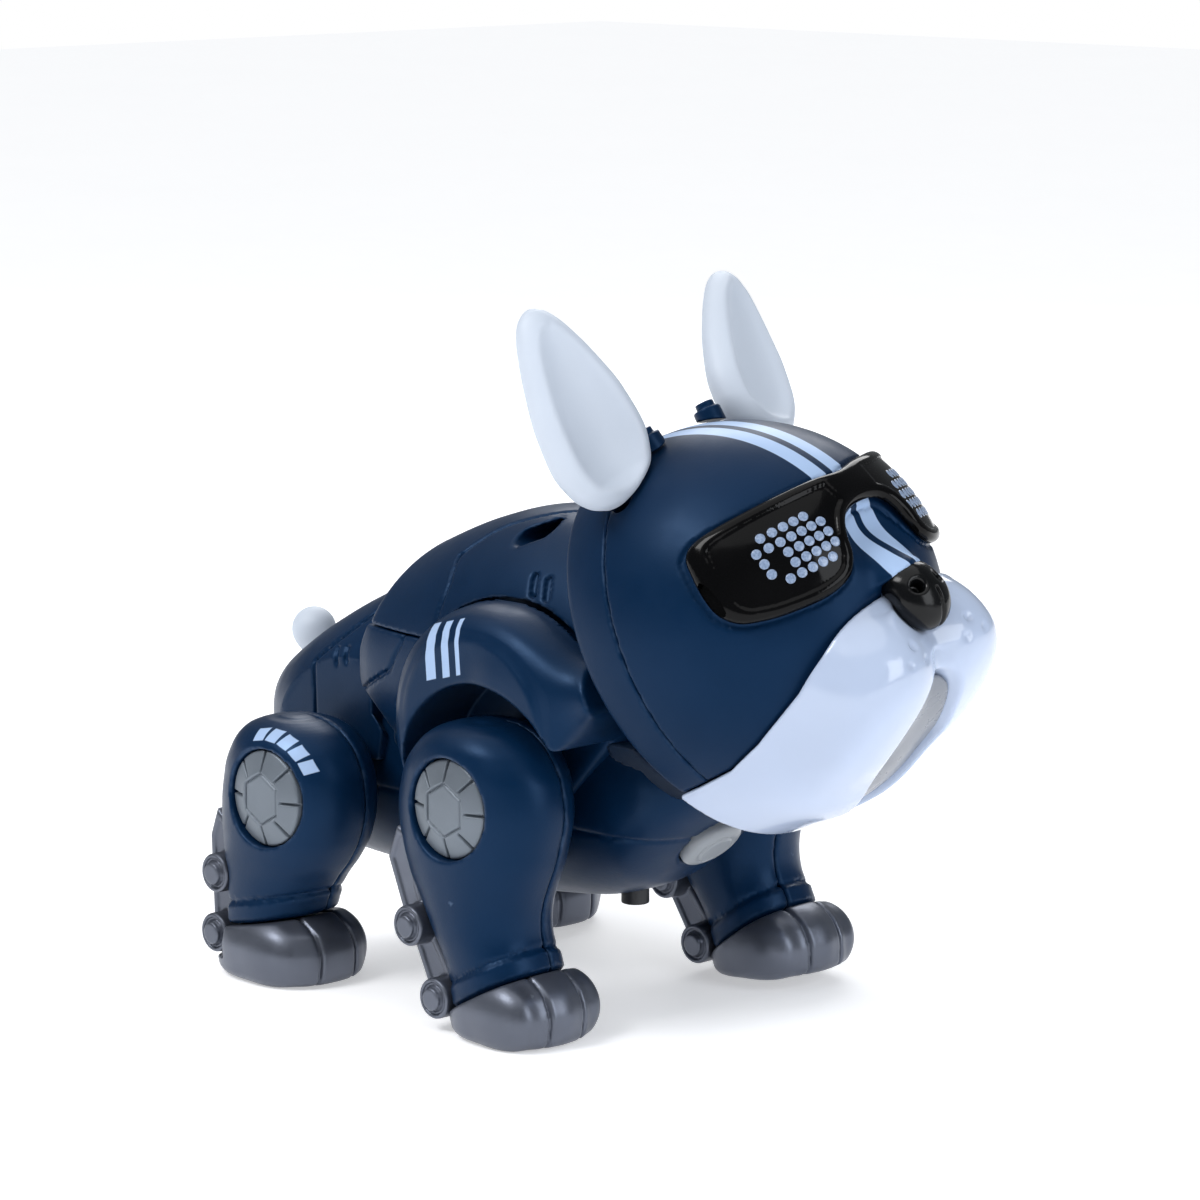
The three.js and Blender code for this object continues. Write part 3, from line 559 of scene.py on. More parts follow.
dark_plastic = moulded("dark_plastic", colour(28, 30, 35), 0.15, 0.5, 0.3)
steel = moulded("steel", colour(178, 181, 186), 0.08, 0.25, 0.1, metal=1.0)
board_green = moulded("board_green", colour(24, 92, 52), 0.15, 0.45, 0.1)
cell_wrap = moulded("cell_wrap", colour(176, 122, 60), 0.1, 0.35, 0.1, metal=0.3)


def lit_dot():
    mat, tree, bsdf = shader("led_dot")
    n = Nodes(tree)
    spread = n.remap(n.noise(1800, 2), 0.3, 0.7, 0, 1)
    tone = n.mix(spread, colour(104, 122, 150), colour(140, 158, 186))
    n.link(tone, bsdf.inputs["Base Color"])
    n.link(tone, bsdf.inputs["Emission Color"])
    bsdf.inputs["Emission Strength"].default_value = 0.12
    n.link(n.remap(n.noise(600, 2), 0.3, 0.7, 0.18, 0.3), bsdf.inputs["Roughness"])
    bsdf.inputs["Coat Weight"].default_value = 0.5
    return mat


led_dot = lit_dot()


# ------------------------------------------------------------------ trunk
GAP = 0.35
PANEL_ARCH, PANEL_ARCH_R = (-80.5, 53.0), 31
BACK = centred([
    [-68, 88, 33, 25], [-62, 88, 35, 31], [-54, 88, 36.5, 35], [-38, 88, 38.5, 41.5],
    [-23, 88, 39.5, 45.5], [-8, 88, 39.5, 47], [10, 88, 38.5, 45.5], [40, 88, 34, 38]])
RUMP = centred([
    [-127.5, 67, 5, 4], [-125, 67, 12, 9], [-119, 67, 20, 15], [-110, 67, 26.5, 21],
    [-98, 67, 31, 28.5], [-84, 67, 32.6, 36], [-72, 67, 31.4, 41], [-60, 67, 29.5, 41.5]])
BELLY = centred([
    [-117, 60, 8, 7], [-112, 59, 17, 17], [-104, 58, 22, 25], [-90, 57, 25, 30], [-60, 57, 26, 31],
    [-30, 58, 26, 31.5], [0, 60, 26, 30.5], [18, 62, 26, 27], [30, 64, 25, 19.5], [40, 66, 21, 11],
    [45, 67, 14, 5]])
SHOULDER = [
    [-50.5, 80, -5, 24, 25], [-49.5, 79.5, -5, 28, 29], [-46, 79, -5, 32, 33.5],
    [-38, 79, -5, 34, 36], [-27, 79, -5, 34.5, 37]]
NECK_AXIS = HEAD_AXES[:, 0]
BODY_FRONT = NECK - 5 * NECK_AXIS
TAIL_BASE, TAIL_TIP = (-116, 0, 75), (-124, 0, 86)
# where the shells part: back from sides, sides and rump from belly, back from rump
BACK_FOOT, SIDE_FOOT, RUMP_FOOT, TUB_TOP = 99.35, 57, 60, 84
REAR_PLANE = ((-66, 0, 100), (-1, 0, 0.35))
SIDE_Y, ARCH_Y, ARCH_BACK_Y = 20, 28.3, 26.5
CHEST, CHEST_OUT = np.array([33.5, 0, 49.5]), np.array([0.69, 0, -0.72])
HOLE_AT, HOLE_SIZE, HOLE_SLOPE = (-11.2, 129.0), (5.2, 2.2), 24
VENTS, VENT_SIZE, VENT_SLOPE = [(-0.5, 117.4), (4.4, 117.0)], (1.0, 3.4), 22
RUMP_VENTS, RUMP_VENT_SIZE = [(-79, 88), (-83, 87)], (0.7, 2.6)
FLANK_SLOT, FLANK_SLOT_SIZE = (-45.9, 80), (3.4, 0.9)
BACK_SEAM = [(20, 3.5), (-8, 9), (-24.7, 18), (-34.5, 26.5)]
FLANK_SEAM = [(-44, 103), (-46.5, 97.2), (-51.4, 88.8), (-67.7, 80.4), (-75, 73)]
RUMP_SEAM = [(-64, 107), (-77.9, 96.7), (-92.3, 84.6), (-91.2, 60)]
REACH = ((4, -39, 95), (44, -38, 91), 9.5)


def back_loft(P):
    return loft(P, "x", BACK)


def shoulder(P):
    side = -np.abs(P[1])
    f = loft((P[0], side, P[2]), "y", SHOULDER, 2.1)
    return smooth_min(f, rod((P[0], side, P[2]), *REACH, flat=False), 7.0)


def hip_round(P, hip, radius):
    return np.sqrt((P[0] - hip[0]) ** 2 + (P[2] - hip[1]) ** 2) - radius


def trunk_field(P):
    """The trunk's whole outer skin, before it is split into shells."""
    return smooth_min(back_loft(P), shoulder(P), 2.0)


def back_shell(P):
    f = back_loft(P)
    f = keep(f, BACK_FOOT - P[2], r=0.6)
    f = keep(f, half(P, *REAR_PLANE), r=3.5)
    f = keep(f, half(P, BODY_FRONT, NECK_AXIS), r=1.0)
    f = cut(f, shoulder(P) - 0.5, r=0.6)
    # seams that run back from the spine, then down to the shoulder
    f = groove(f, np.maximum(track(P[0], np.abs(P[1]), BACK_SEAM), 0), 0.9, 0.8)
    down = np.maximum(track(P[0], P[2], [(-34.5, 121), (-32, 114), (-33.5, 99)]), 24.5 - np.abs(P[1]))
    f = groove(f, down, 0.7, 0.6)
    # oval speaker hole and the two short vents below it
    f = cut(f, slanted_slot(P, HOLE_AT, HOLE_SIZE, HOLE_SLOPE), r=0.8)
    for x, z in VENTS:
        f = cut(f, np.maximum(slanted_slot(P, (x, z), VENT_SIZE, VENT_SLOPE), -(f + 1.2)), r=0.4)
    return f


def slanted_slot(P, at, half_size, slope):
    """A rounded slot that runs in from both sides of the body."""
    a = math.radians(slope)
    u = (P[0] - at[0]) * math.cos(a) + (P[2] - at[1]) * math.sin(a)
    v = -(P[0] - at[0]) * math.sin(a) + (P[2] - at[1]) * math.cos(a)
    r = min(half_size)
    qu, qv = np.maximum(np.abs(u) - half_size[0] + r, 0), np.maximum(np.abs(v) - half_size[1] + r, 0)
    return np.sqrt(qu**2 + qv**2) - r


def wheel_arch(P, hip, radius):
    return np.maximum(hip_round(P, hip, radius), ARCH_Y - np.abs(P[1]))


def side_panel(P):
    f = trunk_field(P)
    f = keep(f, P[1] + SIDE_Y, r=0.4)
    f = cut(f, np.maximum(back_loft(P) - GAP, 99.0 - P[2]), r=0.5)
    f = keep(f, SIDE_FOOT - P[2], r=1.0)
    f = cut(f, wheel_arch(P, HIP_FRONT, 31.5), r=1.2)
    well = np.maximum(hip_round(P, HIP_FRONT, 33.4), np.maximum(-ARCH_Y - P[1], P[1] + ARCH_BACK_Y))
    f = np.minimum(f, np.maximum(well, SIDE_FOOT - P[2]))
    f = cut(f, wheel_arch(P, PANEL_ARCH, PANEL_ARCH_R), r=0.9)
    f = cut(f, loft(P, "x", RUMP) - GAP, r=0.6)
    f = keep(f, half(P, *REAR_PLANE), r=1.2)
    f = keep(f, half(P, BODY_FRONT, NECK_AXIS), r=0.8)
    f = np.maximum(f, P[1] + SIDE_Y)
    f = cut(f, rod(P, (HIP_FRONT[0], -60, HIP_FRONT[1]), (HIP_FRONT[0], 0, HIP_FRONT[1]), 6), r=0.3)
    f = cut(f, half(P, (26, 0, 80), (-0.72, 0, 0.69)), r=3.0)
    f = groove(f, track(P[0], P[2], FLANK_SEAM), 0.8, 0.8)
    f = groove(f, track(P[0], P[2], [(-36, 60), (-41, 78), (-38, 84)]), 0.6, 0.5)
    return smooth_max(f, -np.maximum(slanted_slot(P, FLANK_SLOT, FLANK_SLOT_SIZE, 4), -(f + 1.2)), 0.3)


def rump_shell(P):
    f = loft(P, "x", RUMP)
    f = keep(f, RUMP_FOOT - P[2], r=0.8)
    f = keep(f, half(P, (-60, 0, 90), (1, 0, -0.2)), r=1.0)
    f = cut(f, wheel_arch(P, HIP_REAR, 34), r=0.9)
    f = cut(f, rod(P, TAIL_BASE, TAIL_TIP, 6.6), r=0.6)
    f = cut(f, np.maximum(back_loft(P) - GAP, half(P, (-66.6, 0, 100), (-1, 0, 0.35))), r=0.4)
    f = groove(f, np.maximum(track(P[0], P[2], RUMP_SEAM), 12 - np.abs(P[1])), 0.8, 0.8)
    for x, z in RUMP_VENTS:
        slot = np.maximum(slanted_slot(P, (x, z), RUMP_VENT_SIZE, 12), 14 - np.abs(P[1]))
        f = smooth_max(f, -np.maximum(slot, -(f + 0.7)), 0.3)
    return f


def belly_shell(P):
    f = loft(P, "x", BELLY, 2.4)
    f = keep(f, P[2] - TUB_TOP, r=0.8)
    f = keep(f, half(P, BODY_FRONT, NECK_AXIS), r=0.8)
    f = cut(f, np.maximum(P[0] + 64, 77.6 - P[2]), r=0.3)
    f = cut(f, np.maximum(np.maximum(np.abs(P[0] + 47) - 25, np.abs(P[1]) - 15), P[2] - 40), r=0.3)
    f = cut(f, rod(P, CHEST - 20 * CHEST_OUT, CHEST + 20 * CHEST_OUT, 9.4), r=0.5)
    f = cut(f, rod(P, (6, 0, 20), (6, 0, 45), 4.2), r=0.4)
    for hip in (HIP_FRONT, HIP_REAR):
        f = cut(f, hip_round(P, hip, 6), r=0.3)
    f = groove(f, P[2] - 52, 0.6, 0.6)
    return f


def battery_cover(P):
    f = np.maximum(loft(P, "x", BELLY, 2.4), -(loft(P, "x", BELLY, 2.4) + 2.2))
    f = keep(f, block(P, (-71.65, -14.65, 10), (-22.35, 14.65, 40), 0.8), r=0.3)
    f = cut(f, rod(P, (-28, 0, 20), (-28, 0, 45), 2.0), r=0.3)
    # grip ribs at the latch end
    for x in (-68, -66, -64):
        f = groove(f, np.maximum(np.abs(P[0] - x), np.abs(P[1]) - 9) - 0.1, 0.5, 0.5)
    return f


def neck_collar(P):
    along, radial = along_and_off(P, NECK, NECK_AXIS)
    f = smooth_max(radial - (43 + (along + 15) * 0.32), np.maximum(-15 - along, along + 2.5), 0.8)
    f = cut(f, radial - 40, r=0.4)
    f = keep(f, P[2] - TUB_TOP, r=0.4)
    f = cut(f, loft(P, "x", BELLY, 2.4) - GAP, r=0.3)
    return cut(f, trunk_field(P) - GAP, r=0.3)


def chest_button(P):
    f = rod(P, CHEST - 6 * CHEST_OUT, CHEST + 3.6 * CHEST_OUT, 9)
    along, radial = along_and_off(P, CHEST, CHEST_OUT)
    f = keep(f, 0.45 * radial + 0.893 * along - 5.9, r=1.2)
    f = groove(f, radial - 5.2, 0.5, 0.4)
    return f


def power_button(P):
    f = rod(P, (6, 0, 27.6), (6, 0, 38), 3.8)
    return groove(f, np.sqrt((P[0] - 6) ** 2 + P[1] ** 2) - 2.3, 0.4, 0.35)


def tail(P):
    f = rod(P, (-116, 0, 74), TAIL_TIP, 4.6, 5.8, flat=False)
    return smooth_min(f, ellipsoid(P, TAIL_TIP, (6.2, 6.2, 6.4)), 1.5)


def trunk_pieces():
    def add(name, func, lo, hi, material, body="torso", slot="navy_plastic", mirror=None, step=None):
        p, q = largest(*surface(func, lo, hi, step))
        make("look_" + name, place(p), q, material, body, (name,))
        if mirror:
            mp, mq = mirrored(p, q)
            make("look_" + mirror, place(mp), mq, material, body, (mirror,))

    add("back_shell", back_shell, (-70, -42, 98), (42, 42, 138), navy)
    add("side_panel_right", side_panel, (-70, -52, 56), (42, -18, 116), navy_side,
        mirror="side_panel_left")
    add("rump_shell", rump_shell, (-129, -35, 59), (-55, 35, 111), navy)
    add("belly_shell", belly_shell, (-118, -28, 24), (47, 28, 86), navy, step=0.8)
    add("battery_cover", battery_cover, (-73, -16, 24), (-21, 16, 36), navy, step=0.5)
    add("neck_collar", neck_collar, (10, -50, 45), (62, 50, 86), navy_painted_shade, step=0.8)
    add("chest_button", chest_button, (22, -10, 36), (48, 10, 62), button_grey,
        "chest_button_body", "disc_grey", step=0.35)
    add("power_button", power_button, (1, -5, 26), (11, 5, 39), dark_plastic,
        "power_button_body", "dark_plastic", step=0.3)
    add("tail", tail, (-131, -8, 66), (-108, 8, 94), soft_white, "tail_body", "soft_white", step=0.5)


# ------------------------------------------------------------------ head, in its own axes
BALL_C, BALL_R = (10, 0, -1), (58, 49.5, 53)
SEAM_N = np.array([1, 0, -0.085]) / math.hypot(1, 0.085)
MUZZLE_LINE = [
    [-14, -33], [8, -33.5], [20, -33.5], [31.7, -30.7], [48, -24.1], [56.7, -18.6], [63.5, -12.6],
    [66.5, -10.2], [92, -8]]
LENS_HALF = [
    [0, 21.8], [10, 22.8], [26, 23.2], [36.5, 22.7], [40.6, 20], [42.6, 14], [43.5, 8], [43.3, 2.5],
    [41.5, -1.6], [38.5, -3.8], [33, -5.6], [24, -6.4], [17, -4.5], [13.4, 0], [11.3, 6],
    [7.5, 10.5], [0, 12]]
LENS = LENS_HALF + [[-y, z] for y, z in LENS_HALF[-2:0:-1]]
JAW = centred([
    [0.2, -3.5, 48.2, 53], [10, -6, 47.5, 51.5], [22, -10, 45, 49], [34, -14, 41, 44],
    [44, -16, 36, 37.5], [54, -18, 30, 29.5], [62, -21, 21, 16], [66, -22, 10, 7]])
GOGGLES_PROUD = 3.4
CHEEK, CHEEK_R = (46, 14, -31), (25, 19.5, 24.5)
WHISKERS = [(12.0, -26.8), (8.6, -31.6), (16.2, -31.4), (12.4, -36.4)]
MOUTH_HALF, MOUTH_TOP, MOUTH_RISE = 12, -35.5, 13
CHIN, CHIN_OUT = (60, 0, -43), (0.45, 0, -0.893)
MOUTH_BACK, MOUTH_REACH = 12, 30
NOSE_C, NOSE_R = (70, 0, -17), (6.3, 8.2, 8.8)
EAR_BASE = (21, 29, 40)
EAR = [[0, 0, 0, 3, 5], [2.5, 0.3, 0, 5.6, 9.5], [8, 0.6, 0, 7.4, 13.8], [16, 0.4, 0, 8, 15.8],
       [26, 0, 0, 7.4, 15], [36, -0.6, 0, 6.4, 12.4], [45, -1.2, 0, 5.4, 9],
       [50.5, -1.6, 0, 4.2, 6.2], [53.5, -1.8, 0, 2.7, 3.7], [55, -1.8, 0, 0.8, 1.2]]
EAR_HOLLOW = [
    [3, 8.6, 0, 0.6, 1], [8, 8.4, 0, 5.4, 9], [17, 8.2, 0, 6.8, 11.5], [27, 7.4, 0, 6.2, 10.8],
    [37, 6.2, 0, 5.0, 8.4], [44.5, 5.0, 0, 3.6, 5.3], [49, 4.2, 0, 1.6, 2.2]]
EAR_POSE = {-1: (12, 9, 11), 1: (-8, 33, 11)}


def muzzle_zone(P):
    return outline(P[0], P[2], MUZZLE_LINE + [[92, -120], [-14, -120]])


def ball_field(P, grow=0.0):
    return ellipsoid(P, BALL_C, tuple(r + grow for r in BALL_R))


def brow_dent(P, f):
    """The stop between the eyes, above the nose."""
    return smooth_max(f, -ellipsoid(P, (78, 0, 5.5), (14.5, 17, 11)), 6.0)


def face_skin(P):
    f = brow_dent(P, ball_field(P))
    ridge = rod(P, (52, 0, 4), (66.5, 0, -11.5), 5.6, 7.4, flat=False)
    return smooth_min(f, ridge, 4.5)


def mouth_zone(P, grow=0.0):
    """Under an arch between the cheeks, closing towards the throat."""
    across = (P[1] / MOUTH_HALF) ** 2
    under = 0.75 * (P[2] - MOUTH_TOP + MOUTH_RISE * across)
    ahead = 0.6 * (MOUTH_BACK + MOUTH_REACH * across - P[0])
    return smooth_max(under, ahead, 2.0) - grow


def head_face_shell(P):
    f = face_skin(P)
    f = keep(f, half(P, (14.3, 0, 0), -SEAM_N), r=0.35)
    f = cut(f, muzzle_zone(P) - GAP, r=0.7)
    f = cut(f, ellipsoid(P, NOSE_C, tuple(r + 0.3 for r in NOSE_R)), r=0.4)
    # a shallow seat that the goggles sit in
    f = groove(f, lens_edge(P) - 0.5, 0.9, 0.6, 0.4)
    for side in (-1, 1):
        a = np.array(EAR_BASE) * (1, side, 1)
        n = (a - BALL_C) / np.array(BALL_R) ** 2
        n = n / np.linalg.norm(n)
        f = cut(f, rod(P, a - 12 * n, a + 12 * n, 3.3), r=0.4)
    return f


def head_rear_shell(P):
    f = ball_field(P)
    f = keep(f, half(P, (14.15, 0, 0), SEAM_N), r=0.35)
    f = keep(f, -P[0], r=2.2)
    f = cut(f, muzzle_zone(P) - GAP, r=0.7)
    # hollow behind, with a rim round it
    hollow = np.maximum(ball_field(P, -5.0), P[0] - 2.0)
    f = cut(f, hollow, r=0.6)
    return f


LENS_STENCIL = Stencil(closed_curve(LENS, 5))


def lens_edge(P):
    """Distance to the goggles' outline, carried straight out from the head's middle."""
    q = [(P[i] - BALL_C[i]) / (BALL_R[i] + GOGGLES_PROUD) for i in range(3)]
    k = np.sqrt(q[0] ** 2 + q[1] ** 2 + q[2] ** 2) + 1e-6
    f = LENS_STENCIL(P[1] / k, (P[2] - BALL_C[2]) / k + BALL_C[2])
    return np.where(P[0] > 20, f, 5.0)


def goggles(P):
    skin = ball_field(P)
    top = smooth_max(skin - GOGGLES_PROUD, -ellipsoid(P, (84, 0, 4), (17, 15, 15)), 5.0)
    edge = lens_edge(P)
    f = keep(top, edge, r=2.6)
    f = cut(f, smooth_min(ball_field(P, 0.35), face_skin(P) - 0.35, 0), r=0.3)
    # the glass lies a little below its rim
    glass = np.maximum(edge + 3.3, 6.5 + 0.12 * (P[2] - 5) - np.abs(P[1]))
    return smooth_max(f, -np.maximum(glass, -(skin - GOGGLES_PROUD + 0.65)), 0.9)


def jaw_and_cheeks(P):
    f = loft(P, "x", JAW, 2.0)
    left = ellipsoid(P, CHEEK, CHEEK_R)
    right = ellipsoid(P, (CHEEK[0], -CHEEK[1], CHEEK[2]), CHEEK_R)
    f = smooth_min(f, smooth_min(left, right, 1.6), 5.0)
    # the cheeks fall away underneath, towards the throat
    return keep(f, half(P, CHIN, CHIN_OUT), r=9.0)


def muzzle(P):
    f = jaw_and_cheeks(P)
    f = keep(f, muzzle_zone(P), r=1.3)
    f = cut(f, ellipsoid(P, NOSE_C, tuple(r + GAP for r in NOSE_R)), r=0.9)
    f = cut(f, mouth_zone(P, GAP), r=1.2)
    f = np.maximum(f, -P[0] + 0.2)
    # whisker dimples, four to a side
    for hy, hz in WHISKERS:
        reach = 1 - ((hy - CHEEK[1]) / CHEEK_R[1]) ** 2 - ((hz - CHEEK[2]) / CHEEK_R[2]) ** 2
        hx = CHEEK[0] + CHEEK_R[0] * math.sqrt(reach)
        for side in (-1, 1):
            f = cut(f, sphere(P, (hx + 0.9, side * hy, hz), 1.7), r=0.6)
    return f


def mouth_insert(P):
    f = keep(mouth_zone(P, -0.2), jaw_and_cheeks(P) + 2.0, r=1.2)
    return cut(f, jaw_and_cheeks(P) + 10.0, r=0.5)


def nose(P):
    f = ellipsoid(P, NOSE_C, NOSE_R)
    # flatter above, with a soft crease below the nostrils
    f = smooth_min(f, ellipsoid(P, (67.5, 0, -11.5), (5.8, 7.4, 4.6)), 2.5)
    for side in (-1, 1):
        f = cut(f, rod(P, (71.5, side * 3.4, -15), (80, side * 5.4, -12.5), 1.5, 2.3), r=1.3)
    crease = np.maximum(np.abs(P[1]) - 0.25, P[2] + 16.5)
    f = groove(f, crease, 0.3, 0.9, 0.8)
    return f


def ear_bracket(side):
    def field(P):
        f = rod(P, (24, side * 12, 45), (24, side * 12.8, 52.6), 4.0, 3.7)
        f = smooth_min(f, rod(P, (24, side * 12.8, 51), (24, side * 13, 54.5), 2.6, 2.5), 0.4)
        f = smooth_min(f, rod(P, (24, side * 11, 49.5), (22.6, side * 14.2, 50.2), 2.0, 2.0), 0.8)
        return cut(f, ball_field(P, 0.7), r=0.3)
    return field


def ear_matrix(side):
    lean, splay, toe = EAR_POSE[side]
    return (Matrix.Translation((EAR_BASE[0], side * EAR_BASE[1], EAR_BASE[2]))
            @ Matrix.Rotation(math.radians(-side * splay), 4, "X")
            @ Matrix.Rotation(math.radians(lean), 4, "Y")
            @ Matrix.Rotation(math.radians(side * toe), 4, "Z"))


def ear_field(side):
    m = np.array(ear_matrix(side))

    def field(P):
        f = loft(P, "z", EAR, 2.0)
        f = smooth_max(f, -loft(P, "z", EAR_HOLLOW, 2.0), 2.6)
        H = [m[i, 0] * P[0] + m[i, 1] * P[1] + m[i, 2] * P[2] + m[i, 3] for i in range(3)]
        return cut(f, ball_field(H, 0.7), r=0.5)
    return field


def head_pieces():
    def add(name, func, lo, hi, material, body="head", slot="navy_plastic", step=None, turn=None):
        p, q = largest(*surface(func, lo, hi, step))
        if turn is not None:
            p = p @ turn[:3, :3].T + turn[:3, 3]
        make("look_" + name, place(p, "head"), q, material, body, (name,))

    add("head_face_shell", head_face_shell, (7, -51, -36), (76, 51, 53), navy_head)
    add("head_rear_shell", head_rear_shell, (-2, -51, -52), (22, 51, 53), navy_head)
    add("goggles", goggles, (34, -41, -14), (74, 41, 27), gloss_black, slot="gloss_black", step=0.45)
    add("muzzle", muzzle, (-1, -51, -60), (74, 51, -4), gloss_white, slot="gloss_white", step=0.5)
    add("mouth_insert", mouth_insert, (8, -24, -62), (74, 24, -28), insert_grey, slot="insert_grey",
        step=0.5)
    add("nose", nose, (60, -12, -28), (80, 12, -4), nose_black, slot="gloss_black", step=0.35)
    for label, side in (("right", -1), ("left", 1)):
        turn = np.array(ear_matrix(side))
        add("ear_" + label, ear_field(side), (-10, -16, -4), (10, 16, 57), soft_white,
            f"ear_{label}_body", "soft_white", step=0.5, turn=turn)
        lo = (18, min(side * 9, side * 20), 44)
        hi = (29, max(side * 9, side * 20), 56)
        add("ear_bracket_" + label, ear_bracket(side), lo, hi, navy, step=0.35)


# the dot display: each row and the columns lit in it
BROKEN_ROW = [0, 2, 3, 4, 5, 6]
LIT = [(0, range(1, 6)), (1, range(0, 7)), (2, BROKEN_ROW), (3, BROKEN_ROW), (4, range(1, 6))]
DOT_ACROSS, DOT_DOWN, DOT_RADIUS = 2.65, 3.1, 1.32
DOT_CENTRE = (24.0, 8.4)


def led_dots(side):
    """Small domed discs lying just under the goggles' surface."""
    verts, faces = [], []
    rings = [(1.0, -0.5), (1.0, 0.02), (0.82, 0.1), (0.45, 0.14)]
    count = 20
    for row, columns in LIT:
        for column in columns:
            hy = -DOT_CENTRE[0] + (column - 3) * DOT_ACROSS
            hz = DOT_CENTRE[1] - (row - 2) * DOT_DOWN
            radii = [r + GOGGLES_PROUD - 0.65 for r in BALL_R]
            y, z = hy / radii[1], (hz + 1) / radii[2]
            hx = 10 + radii[0] * math.sqrt(1 - y * y - z * z)
            n = np.array([(hx - 10) / radii[0] ** 2, hy / radii[1] ** 2, (hz + 1) / radii[2] ** 2])
            n /= np.linalg.norm(n)
            u = np.cross((0, 0, 1), n)
            u /= np.linalg.norm(u)
            v = np.cross(n, u)
            centre = np.array([hx, hy, hz])
            start = len(verts)
            for scale, rise in rings:
                for k in range(count):
                    a = 2 * math.pi * k / count
                    around = u * math.cos(a) + v * math.sin(a)
                    verts.append(centre + DOT_RADIUS * scale * around + n * rise)
            verts.append(centre + n * 0.15)
            top = len(verts) - 1
            for ring in range(len(rings) - 1):
                for k in range(count):
                    a, b = start + ring * count + k, start + ring * count + (k + 1) % count
                    faces.append((a, b, b + count, a + count))
            last = start + (len(rings) - 1) * count
            for k in range(count):
                faces.append((last + k, last + (k + 1) % count, top))
    points = np.array(verts) * (1, -side, 1)
    if side > 0:
        faces = [f[::-1] for f in faces]
    mesh = bpy.data.meshes.new("look_led_dots")
    mesh.from_pydata(place(points, "head").tolist(), [], faces)
    mesh.polygons.foreach_set("use_smooth", [True] * len(mesh.polygons))
    obj = bpy.data.objects.new("look_led_dots_" + ("right" if side < 0 else "left"), mesh)
    bpy.context.collection.objects.link(obj)
    mesh.materials.append(led_dot)
    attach(obj, "head")


# ------------------------------------------------------------------ legs, right side
FRONT_LEG = dict(
    hip=HIP_FRONT, y=-46,
    shell=[[-2, 5.5, 14, 13.5], [10, 4.5, 14.6, 13.8], [17, 3, 15, 14], [22, 1, 15.4, 14.2],
           [27, -1.5, 16, 14.6], [34, -3.5, 18, 15.2], [42, -4.5, 21.8, 16.2], [50, -4.5, 25, 16.8],
           [60, -4, 26.8, 17], [69, -3.5, 25.2, 16.6], [76, -3, 20.5, 15.6], [80.5, -2.5, 15, 13],
           [83, -2, 8, 8], [83.8, -2, 2, 2]],
    cuff=((4, 0, 11.5), (0.47, 0, -0.883)),
    strut=[[-30, 52], [-33.5, 43], [-28, 30], [-24.5, 24], [-15, 4.5], [-7, 5], [-8, 14], [-16, 26],
           [-21, 36], [-24, 50]],
    bosses=[(-20, 27), (-10, 9)],
    foot=[[0, 9, 13.5, 13], [0.9, 9, 16.5, 15.4], [3, 9, 18, 16.8], [8, 9, 18.6, 17.2],
          [13, 8.6, 17.6, 16.2], [17, 8, 14.5, 13.6], [20, 7, 9, 9], [21.2, 6.5, 2, 2]],
    toes=(9, 6.0))
REAR_LEG = dict(
    hip=HIP_REAR, y=-46,
    shell=[[6, -88, 14, 13.6], [15, -87.5, 14.6, 14], [22, -86.5, 15.6, 14.4],
           [29, -84.5, 18.2, 15], [35, -82, 21, 15.8], [42, -79.8, 23.2, 16.6],
           [50, -78.6, 24.2, 17], [58, -78.2, 23.2, 16.8], [65, -78.2, 20.2, 15.8],
           [70, -78.6, 15.6, 13.4], [73, -79, 8.8, 8.6], [74, -79, 2.5, 2.5]],
    cuff=((-86, 0, 16), (0.2, 0, -0.98)),
    strut=[[-104, 45], [-107, 37], [-106.5, 26], [-106, 12], [-101, 5], [-93.5, 6], [-94, 16],
           [-95, 28], [-97, 40]],
    bosses=[(-99, 28), (-99.5, 11)],
    foot=[[0, -83, 15.5, 13.6], [0.9, -83, 19, 16], [3, -83, 20.6, 17.4], [9, -83.2, 21.2, 17.8],
          [14, -83.8, 19.8, 16.6], [17.5, -84.6, 16, 13.8], [20.5, -85.6, 9.5, 9.2],
          [21.8, -86, 2, 2]],
    toes=(-83, 6.2))
DISC_R, DISC_FACE, DISC_BACK, DISC_DOME = 13.2, 60.5, 56.5, 2.0
DISC_HEX, DISC_HEX_FACE, DISC_CUTS_FROM = 6.0, 62.3, 7.6
TOE_PITCH, TOE_RADII = 11.4, (11.2, 6.3, 9.6)
STRUT_FACE, STRUT_BACK, BOSS_FACE, BOSS_R, CAP_R = 54.5, 43, 60, 5.5, 3.1
SPLIT_Y, INNER_SPLIT_Y = 43, 42.65
LEFT_FRONT_SWING = 8


def leg_loft(P, leg, part, square):
    return loft(P, "z", [[z, x, leg["y"], long, wide] for z, x, long, wide in leg[part]], square)


def either_side(P, leg):
    """The same place, with the leg's inner half folded over its outer half."""
    return P[0], leg["y"] - np.abs(P[1] - leg["y"]), P[2]


def strut_room(P, leg, grow):
    P = either_side(P, leg)
    f = outline(P[0], P[2], leg["strut"]) - grow
    for x, z in leg["bosses"]:
        f = np.minimum(f, hip_round(P, (x, z), BOSS_R - 0.1 + grow))
    return np.maximum(f, P[1] + STRUT_BACK - grow)


def cuffed(P, leg):
    """The leg's skin with its cuff, cut off at the ankle, and the distance from that cut."""
    f = leg_loft(P, leg, "shell", 2.3)
    end = half(P, *leg["cuff"])
    f = smooth_min(f, np.maximum(f - 0.7, np.abs(end + 3.0) - 2.2), 0.8)
    return keep(f, end, r=1.0), end


